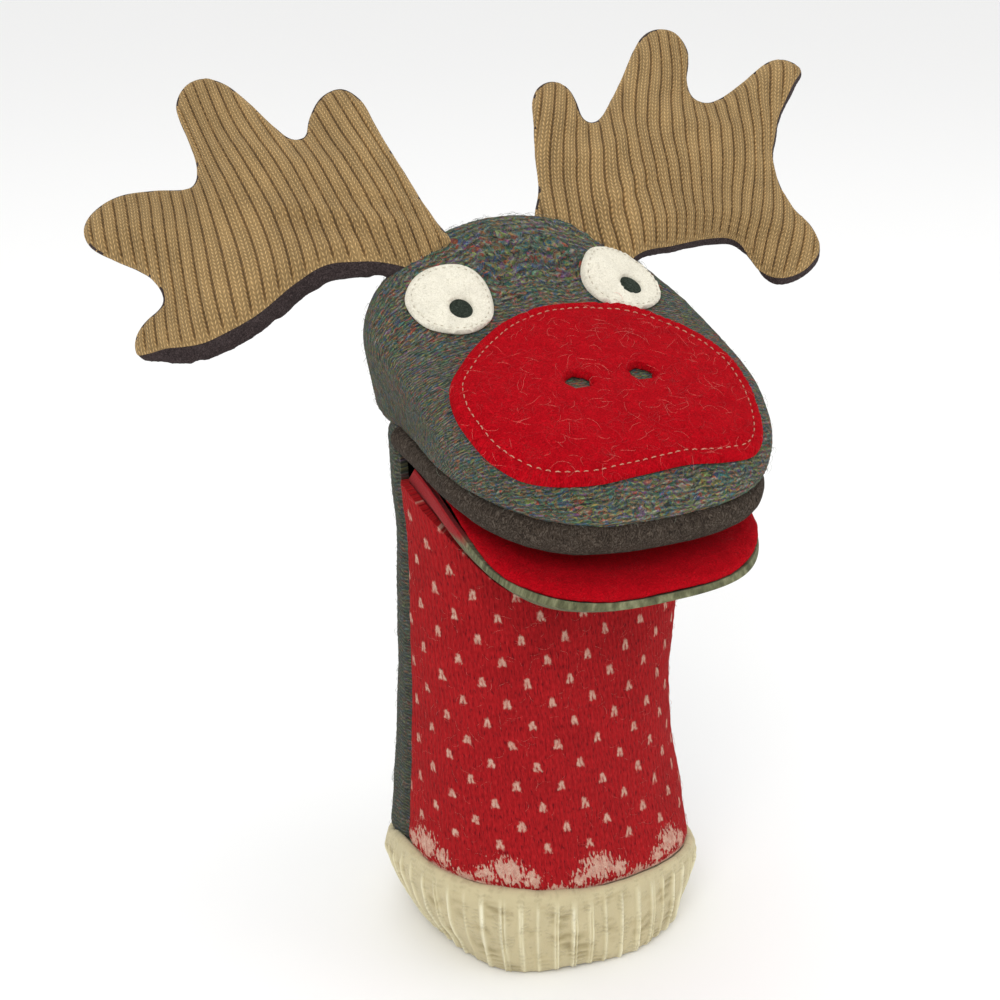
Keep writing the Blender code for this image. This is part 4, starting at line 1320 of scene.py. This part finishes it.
def loose_fibres(name, material, spots, ups, length, radius, lift, rng, sides=3):
    """Single hairs lying on a cloth and curling a little way off it."""
    paths, radii = [], []
    for spot, up in zip(spots, ups):
        up = up / np.linalg.norm(up)
        heading = rng.uniform(0, TURN)
        side = np.cross(up, (0.3, 0.5, 0.8))
        side /= np.linalg.norm(side)
        other = np.cross(up, side)
        curl = rng.uniform(-1, 1) * 420
        size = length * rng.uniform(0.4, 1.3)
        rise = lift * rng.uniform(0.2, 1.0)
        here, path = np.array(spot), []
        for k in range(6):
            path.append(here + up * rise * math.sin(k / 5 * math.pi))
            here = here + (side * math.cos(heading) + other * math.sin(heading)) * size / 5
            heading += curl * size / 5 + rng.uniform(-0.5, 0.5)
        paths.append(np.array(path))
        radii.append(np.array((0.3, 0.9, 1.0, 1.0, 0.8, 0.3)) * radius)
    return joined_tubes(name, paths, radii, material, sides)


def grid_fibres(name, material, points, normals, count, length, lift, rng):
    """Loose fibres scattered over a grid of points."""
    rows, columns = points.shape[:2]
    picks = [(rng.randrange(rows), rng.randrange(columns)) for _ in range(count)]
    spots = [points[pick] for pick in picks]
    ups = [normals[pick] for pick in picks]
    return loose_fibres(name, material, spots, ups, length, 0.00004, lift, rng)


def eye(side, sign, surface, rng):
    matrix = felt_frame((EYE_POINT[0] * sign, EYE_POINT[1], EYE_POINT[2]),
                        (EYE_NORMAL[0] * sign, EYE_NORMAL[1], EYE_NORMAL[2]))

    def wobbly(radius, centre, seed, count):
        turn = np.linspace(0, TURN, count + 1)[:-1]
        uneven = radius * (1 + 0.006 * np.sin(turn * 3 + seed) + 0.005 * np.sin(turn * 7 + seed))
        return np.stack((centre[0] + uneven * np.cos(turn), centre[1] + uneven * np.sin(turn)), -1)

    rim = wobbly(EYE_RADIUS, (0, 0), sign, 120)
    hole = wobbly(PUPIL_RADIUS, PUPIL_OFFSETS[side], 2, 36)

    def white_height(flat, distance):
        rounded = np.sqrt(1 - (1 - np.clip(distance / 0.0008, 0, 1)) ** 2)
        from_centre = np.linalg.norm(flat, axis=1)
        groove = np.exp(-(((EYE_RADIUS - 0.0016 - from_centre) / 0.0006) ** 2))
        return EYE_FELT * (0.45 + 0.55 * rounded) - 0.00035 * groove

    white, tree = felt_patch(f"eye_white_felt_{side}", "ivory_felt", [rim, hole], 0.0009, matrix,
                             surface, 0.0006, white_height)
    finish_piece(white, "head", (f"eye_white_{side}",))
    disc = wobbly(PUPIL_RADIUS * 1.06, PUPIL_OFFSETS[side], 2, 30)
    pupil, _ = felt_patch(f"pupil_felt_{side}", "black_felt", [disc], 0.0009, matrix, surface,
                          0.0004, lambda flat, distance: np.full(len(flat), 0.0008))
    finish_piece(pupil, "head", (f"pupil_{side}",))
    seam = wobbly(EYE_RADIUS - 0.0016, (0, 0), sign, 200)
    paths, radii = stitch_row(seam, matrix, tree, 0.0013, 0.0009, 0.00016, 0.0003, rng)
    thread = joined_tubes(f"eye_thread_{side}", paths, radii, "ivory_thread")
    finish_piece(thread, "head", (f"eye_stitching_{side}",))


def nose(surface, rng):
    matrix = felt_frame(NOSE_CENTRE, (0, -math.sin(NOSE_TILT), math.cos(NOSE_TILT)))
    rim = closed_curve(NOSE_OUTLINE, 0.0008)
    seam = closed_curve(NOSE_OUTLINE, 0.0004)
    inward = np.gradient(seam, axis=0)[:, ::-1] * (-1, 1)
    inward /= np.linalg.norm(inward, axis=1, keepdims=True)
    seam = seam + inward * NOSE_STITCH_INSET
    if not inside(seam, rim).all():
        seam = seam - 2 * inward * NOSE_STITCH_INSET
    turn = np.linspace(0, TURN, 40)[:-1]
    x, y, half_x, half_y = NOSTRIL
    ragged = 1 + 0.05 * np.sin(turn * 5) + 0.03 * np.sin(turn * 9 + 1)
    holes = [np.stack((x * sign + half_x * ragged * np.cos(turn), y + half_y * ragged * np.sin(turn)),
                      -1) for _, sign in SIDES]

    def height(flat, distance):
        rounded = np.sqrt(1 - (1 - np.clip(distance / 0.0011, 0, 1)) ** 2)
        from_seam = edge_distance(flat, [seam])
        groove = np.exp(-((from_seam / 0.0008) ** 2))
        bumps = lumps(np.concatenate((flat, np.zeros((len(flat), 1))), 1), 0.006, 41)
        return NOSE_FELT * (0.35 + 0.65 * rounded) - 0.0007 * groove + 0.00025 * bumps

    patch, tree = felt_patch("nose_felt", "red_felt", [rim] + holes, 0.0010, matrix, surface,
                             0.0006, height)
    finish_piece(patch, "head", ("nose_patch",))
    low, high = rim.min(0), rim.max(0)
    tries = np.array([(rng.uniform(low[0], high[0]), rng.uniform(low[1], high[1]))
                      for _ in range(900)])
    keep = inside(tries, rim)
    for hole in holes:
        keep &= ~inside(tries, hole)
    spots = drape(tries[keep], matrix, tree)
    away = np.array(matrix.to_3x3() @ Vector((0, 0, 1)))
    pale = len(spots) * 3 // 10
    for name, material, chosen in (("nose_pale_fibres", "pink_fibre", spots[:pale]),
                                   ("nose_red_fibres", "red_fibre", spots[pale:])):
        hairs = loose_fibres(name, material, chosen, [away] * len(chosen), 0.0065, 0.000042,
                             0.0005, rng)
        finish_piece(hairs, "head", ("nose_patch",))
    paths, radii = stitch_row(seam, matrix, tree, 0.0020, 0.0007, 0.00018, 0.0004, rng)
    thread = joined_tubes("nose_thread", paths, radii, "cream_thread")
    finish_piece(thread, "head", ("nose_topstitch",))


# ---------------------------------------------------------------- antlers


def antler_frame(side):
    """Local X from the inner to the outer end of the base, Y away from the head."""
    inner, outer, tip = (Vector(point) for point in ANTLER_PLACES[side])
    along = (outer - inner).normalized()
    away = tip - inner
    away = (away - along * away.dot(along)).normalized()
    front = along.cross(away) if side == "left" else away.cross(along)
    rotation = np.array((along, away, front)).T
    return np.array((inner + outer) / 2), rotation


def antler_outline(side):
    points = [(x * MM, y * MM) for x, y in ANTLER_OUTLINES[side]]
    inner, outer = np.array(points[0]), np.array(points[-1])
    # Straight along the base, so that the curve doesn't round its corners
    for share in (0.06, 0.5, 0.94):
        points.append(tuple(outer * (1 - share) + inner * share))
    return closed_curve(points, ANTLER_SPACING * 0.8)


def wrap_strips(side, outline):
    """Strips of the front along the outline that the dark back covers.

    Each is an outer path on the outline and an inner path that meets it at both ends.
    """
    direction, width, low, high = ANTLER_WRAPS[side]
    tangent = np.roll(outline, -1, 0) - np.roll(outline, 1, 0)
    tangent /= np.linalg.norm(tangent, axis=1, keepdims=True)
    outward = np.stack((-tangent[:, 1], tangent[:, 0]), -1)     # the outline runs clockwise
    facing = smooth_step(low, high, outward @ np.array(direction))
    reach = np.convolve(np.concatenate((facing[-2:], facing, facing[:2])), np.ones(5) / 5, "valid")
    along_base = (outward[:, 1] < -0.9) & (outline[:, 1] < -0.004)
    reach = reach * width * (outline[:, 0] > -0.005) * ~along_base
    strips, count, i = [], len(outline), 0
    while i < count:
        if reach[i] > 0.0004:
            start = i
            while i < count and reach[i] > 0.0004:
                i += 1
            if i - start > 3:
                run = np.arange(start, i)
                path = outline[run] - outward[run] * reach[run][:, None]
                ends = outline[[(start - 1) % count]], outline[[i % count]]
                strips.append((np.concatenate((ends[0], outline[run], ends[1])), path))
        i += 1
    return strips


def inflate(name, points, triangles, boundary, pressure, cap):
    """A closed pillow: two copies of a flat cloth sewn at the rim, filled by a cloth simulation."""
    count = len(points)
    rim = sorted({i for edge in boundary for i in edge})
    mapping = {i: i for i in rim}
    free = [i for i in range(count) if i not in mapping]
    back_number = {i: i for i in rim}
    for k, i in enumerate(free):
        back_number[i] = count + k
    depth = np.clip(edge_distance(points, [points[rim]]) / 0.006, 0, 1)
    front_z = 0.0026 * np.sqrt(1 - (1 - depth) ** 2)
    front = np.column_stack((points, front_z))
    back = np.column_stack((points[free], -front_z[free]))
    vertices = np.concatenate((front, back))
    faces = triangles.tolist()
    faces += [[back_number[c], back_number[b], back_number[a]] for a, b, c in triangles]
    vertices = simulated(name, vertices, faces, pressure, cap)
    return vertices, faces, len(triangles)


def simulated(name, vertices, faces, pressure, cap):
    """Fill a closed mesh with a Cloth simulation under pressure, and cap each point's travel."""
    mesh = bpy.data.meshes.new(name)
    mesh.from_pydata(vertices * 1.0, [], faces)
    item = bpy.data.objects.new(name, mesh)
    bpy.context.scene.collection.objects.link(item)
    cloth = item.modifiers.new("fill", "CLOTH")
    settings = cloth.settings
    settings.use_pressure = True
    settings.uniform_pressure_force = pressure
    settings.effector_weights.gravity = 0
    settings.tension_stiffness = settings.compression_stiffness = 40
    settings.bending_stiffness = 6
    settings.mass = 0.3
    scene = bpy.context.scene
    cloth.point_cache.frame_start, cloth.point_cache.frame_end = 1, 20
    for number in range(1, 21):
        scene.frame_set(number)
    done = item.evaluated_get(bpy.context.evaluated_depsgraph_get()).to_mesh()
    moved = np.array([tuple(v.co) for v in done.vertices])
    item.to_mesh_clear()
    bpy.data.objects.remove(item, do_unlink=True)
    scene.frame_set(1)
    travel = moved - vertices
    far = np.linalg.norm(travel, axis=1, keepdims=True)
    return vertices + travel * np.minimum(1, cap / np.maximum(far, 1e-9))


def rib_lines(side, x, y):
    """Coordinates across and along the antler's ribs, which slant and wander."""
    if side == "right":
        slant = np.radians(-25 - 13 * smooth_step(0.0, 0.055, x))
    else:
        slant = np.radians(-12 - 11 * np.exp(-(((x - 0.020) / 0.022) ** 2)) *
                           smooth_step(0.075, 0.03, y) + 4 * smooth_step(0.03, 0.06, x))
    wave = 0.0010 * np.sin(y / 0.014 + x / 0.03) + 0.0005 * np.sin(y / 0.0075 + x / 0.011 + 1)
    pivot = np.array((0.020, 0.045))
    x, y = x - pivot[0], y - pivot[1]
    across = x * np.cos(slant) - y * np.sin(slant) + wave
    along = x * np.sin(slant) + y * np.cos(slant)
    return across, along


def creases(side, flat):
    """How far the folds near an antler's base push the cloth forward or back."""
    push = np.zeros(len(flat))
    for first, last, width, depth in ANTLER_CREASES[side]:
        first, run = np.array(first), np.subtract(last, first)
        length = np.linalg.norm(run)
        run = run / length
        along, across = (flat - first) @ run, (flat - first) @ np.array((-run[1], run[0]))
        beyond = np.maximum(0, np.maximum(-along, along - length))
        fade = np.exp(-((beyond / (width * 1.5)) ** 2))
        push += depth * fade * (across / width) * np.exp(0.5 - (across / width) ** 2)
    return push


def antler(side, mirror):
    origin, rotation = antler_frame(side)
    outline = antler_outline(side)
    strips = wrap_strips(side, outline)
    flat, triangles = filled([outline], ANTLER_SPACING, [path for _, path in strips])
    boundary = border_edges(triangles)
    vertices, faces, front_count = inflate(f"pillow_{side}", flat, triangles, boundary, 4.0, 0.004)
    vertices[:, 2] += lumps(vertices * (1, 1, 0), 0.028, 51 + mirror) * 0.0020
    vertices[:, 2] += lumps(vertices * (1, 1, 0), 0.013, 61 + mirror) * 0.0010
    vertices[:, 2] += creases(side, vertices[:, :2])
    middle = flat[triangles].mean(1)
    dark = np.zeros(len(middle), bool)
    for outer, path in strips:
        dark |= inside(middle, np.concatenate((outer, path[::-1])))
    front_faces = [face for face, wrapped in zip(faces[:front_count], dark) if not wrapped]
    back_faces = [face for face, wrapped in zip(faces[:front_count], dark) if wrapped]
    back_faces += faces[front_count:]
    for part, chosen, material, levels in (("front", front_faces, "camel_rib", 2),
                                           ("back", back_faces, "dark_felt", 1)):
        points, quads = subdivided(vertices, chosen, levels)
        cloth = points.copy()
        normals = vertex_normals(points, quads)
        if part == "front":
            across, along = rib_lines(side, points[:, 0], points[:, 1])
            rim = points[sorted({i for edge in quad_border(quads) for i in edge})]
            fade = smooth_step(0.0, 0.0030, edge_distance(points, [rim]))
            relief = rib_relief(across, ANTLER_RIB)
            points = points + normals * (fade * (relief * 0.00085 - 0.00045))[:, None]
            # w is the rib's height, which the camel material paints as shade in the valleys and highlight on
            # the ribs.
            cloth = np.column_stack((across, along, (1 - fade + fade * relief) * MM))
        else:
            points = points + normals * (lumps(points, 0.004, 71) * 0.00025)[:, None]
        place = points @ rotation.T + origin
        if mirror < 0:
            quads = quads[:, ::-1]
        piece = closed_skin(f"antler_{part}_cloth_{side}", place, quads, cloth, material)
        bend_antler(piece, side, part)
    quads = np.array(faces)
    core = vertices - vertex_normals(vertices, quads[:, (0, 1, 2, 2)]) * 0.0022
    place = core @ rotation.T + origin
    if mirror < 0:
        quads = quads[:, ::-1]
    stuffing = mesh_object(f"antler_wadding_{side}", place, quads.tolist(), core,
                           MATERIALS["wadding"])
    bend_antler(stuffing, side, "stuffing")


def bend_antler(piece, side, part):
    """The antler's base is sewn in the head; the piece lies between the head and its own body and stays fixed
    in the frame.
    """
    finish_piece(piece, ("head", f"antler_{side}"), (f"antler_{part}_{side}",))


def quad_border(quads):
    """Directed edges that belong to one quad only."""
    edges = set()
    for i in range(4):
        edges.update(zip(quads[:, i].tolist(), quads[:, (i + 1) % 4].tolist()))
    return [edge for edge in edges if (edge[1], edge[0]) not in edges]


def subdivided(vertices, faces, levels):
    """Smooth subdivision that keeps the cut edges where they are."""
    used = sorted({i for face in faces for i in face})
    number = {i: k for k, i in enumerate(used)}
    mesh = bpy.data.meshes.new("cage")
    mesh.from_pydata(vertices[used], [], [[number[i] for i in face] for face in faces])
    item = bpy.data.objects.new("cage", mesh)
    bpy.context.scene.collection.objects.link(item)
    modifier = item.modifiers.new("smooth", "SUBSURF")
    modifier.levels = modifier.render_levels = levels
    modifier.boundary_smooth = "ALL"
    done = item.evaluated_get(bpy.context.evaluated_depsgraph_get()).to_mesh()
    points = np.array([tuple(v.co) for v in done.vertices])
    quads = np.array([list(p.vertices) for p in done.polygons])
    item.to_mesh_clear()
    bpy.data.objects.remove(item, do_unlink=True)
    return points, quads


def vertex_normals(points, quads):
    """Area-weighted unit normals."""
    a, b, c, d = (points[quads[:, i]] for i in range(4))
    face = np.cross(c - a, d - b)
    normals = np.zeros_like(points)
    for i in range(4):
        np.add.at(normals, quads[:, i], face)
    return normals / np.maximum(np.linalg.norm(normals, axis=1, keepdims=True), 1e-12)


def closed_skin(name, points, quads, cloth, material, thickness=0.0009):
    """A closed sheet from an open one, thickened inwards."""
    normals = vertex_normals(points, quads)
    inner = points - normals * thickness
    count = len(points)
    faces = quads.tolist() + (quads[:, ::-1] + count).tolist()
    for a, b in quad_border(quads):
        faces.append([b, a, a + count, b + count])
    return mesh_object(name, np.concatenate((points, inner)), faces,
                       np.concatenate((cloth, cloth)), MATERIALS[material])


# ---------------------------------------------------------------- hidden parts


def hidden_parts():
    """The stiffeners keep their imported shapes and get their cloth."""
    for name in ("upper_mouth_stiffener", "lower_mouth_stiffener"):
        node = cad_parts[name]
        layer = node.data.attributes.new("cloth", "FLOAT_VECTOR", "POINT")
        layer.data.foreach_set("vector", [c for v in node.data.vertices for c in v.co])
        node.data.materials.clear()
        node.data.materials.append(MATERIALS["buckram"])


# ---------------------------------------------------------------- stage

CAMERA_AZIMUTH = math.radians(-28)
CAMERA_ELEVATION = math.radians(20)
CAMERA_DISTANCE = 0.585
CAMERA_TARGET = (-0.0120, 0.0064, 0.1430)       # from the middle of the cuff's opening
FIELD_OF_VIEW = math.radians(30)


def floor():
    bpy.ops.mesh.primitive_plane_add(size=60, location=(0, 0, -0.0002))
    plane = bpy.context.object
    plane.name = "floor"
    g = Graph("pale_floor")
    g.feed(g.shader.inputs["Base Color"], (0.93, 0.93, 0.925))
    g.shader.inputs["Roughness"].default_value = 0.9
    plane.data.materials.append(g.material)


def lamp(name, location, size, power, target=(0, 0, 0.15)):
    light = bpy.data.lights.new(name, "AREA")
    light.shape = "DISK"
    light.size = size
    light.energy = power
    item = bpy.data.objects.new(name, light)
    bpy.context.scene.collection.objects.link(item)
    item.location = location
    item.rotation_euler = (Vector(target) - Vector(location)).to_track_quat("-Z", "Y").to_euler()


def stage():
    floor()
    world = bpy.data.worlds.new("studio")
    world.use_nodes = True
    background = world.node_tree.nodes["Background"]
    background.inputs[0].default_value = (1.0, 1.0, 1.0, 1.0)
    background.inputs[1].default_value = 0.92
    bpy.context.scene.world = world
    lamp("key", (-0.9, -1.1, 1.3), 1.0, 11)
    lamp("fill", (1.2, -0.8, 0.7), 1.2, 3)
    lamp("top", (0.1, 0.5, 1.6), 1.0, 3)
    bpy.context.scene.view_settings.view_transform = "Standard"

    back = Vector((math.sin(CAMERA_AZIMUTH) * math.cos(CAMERA_ELEVATION),
                   -math.cos(CAMERA_AZIMUTH) * math.cos(CAMERA_ELEVATION),
                   math.sin(CAMERA_ELEVATION)))
    data = bpy.data.cameras.new("camera")
    data.sensor_width = 36
    data.angle = FIELD_OF_VIEW
    data.clip_start = 0.01
    camera = bpy.data.objects.new("camera", data)
    bpy.context.scene.collection.objects.link(camera)
    camera.location = Vector(CAMERA_TARGET) + Vector(PLACE) + back * CAMERA_DISTANCE
    camera.rotation_euler = (-back).to_track_quat("-Z", "Y").to_euler()
    bpy.context.scene.camera = camera


# ---------------------------------------------------------------- the puppet


def build():
    rng = random.Random(7)
    sleeve(rng)
    cuff()
    surface = head(rng)
    linings()
    chin()
    for side, sign in SIDES:
        eye(side, sign, surface, rng)
    nose(surface, rng)
    for side, sign in SIDES:
        antler(side, sign)
    hidden_parts()


build()
stage()
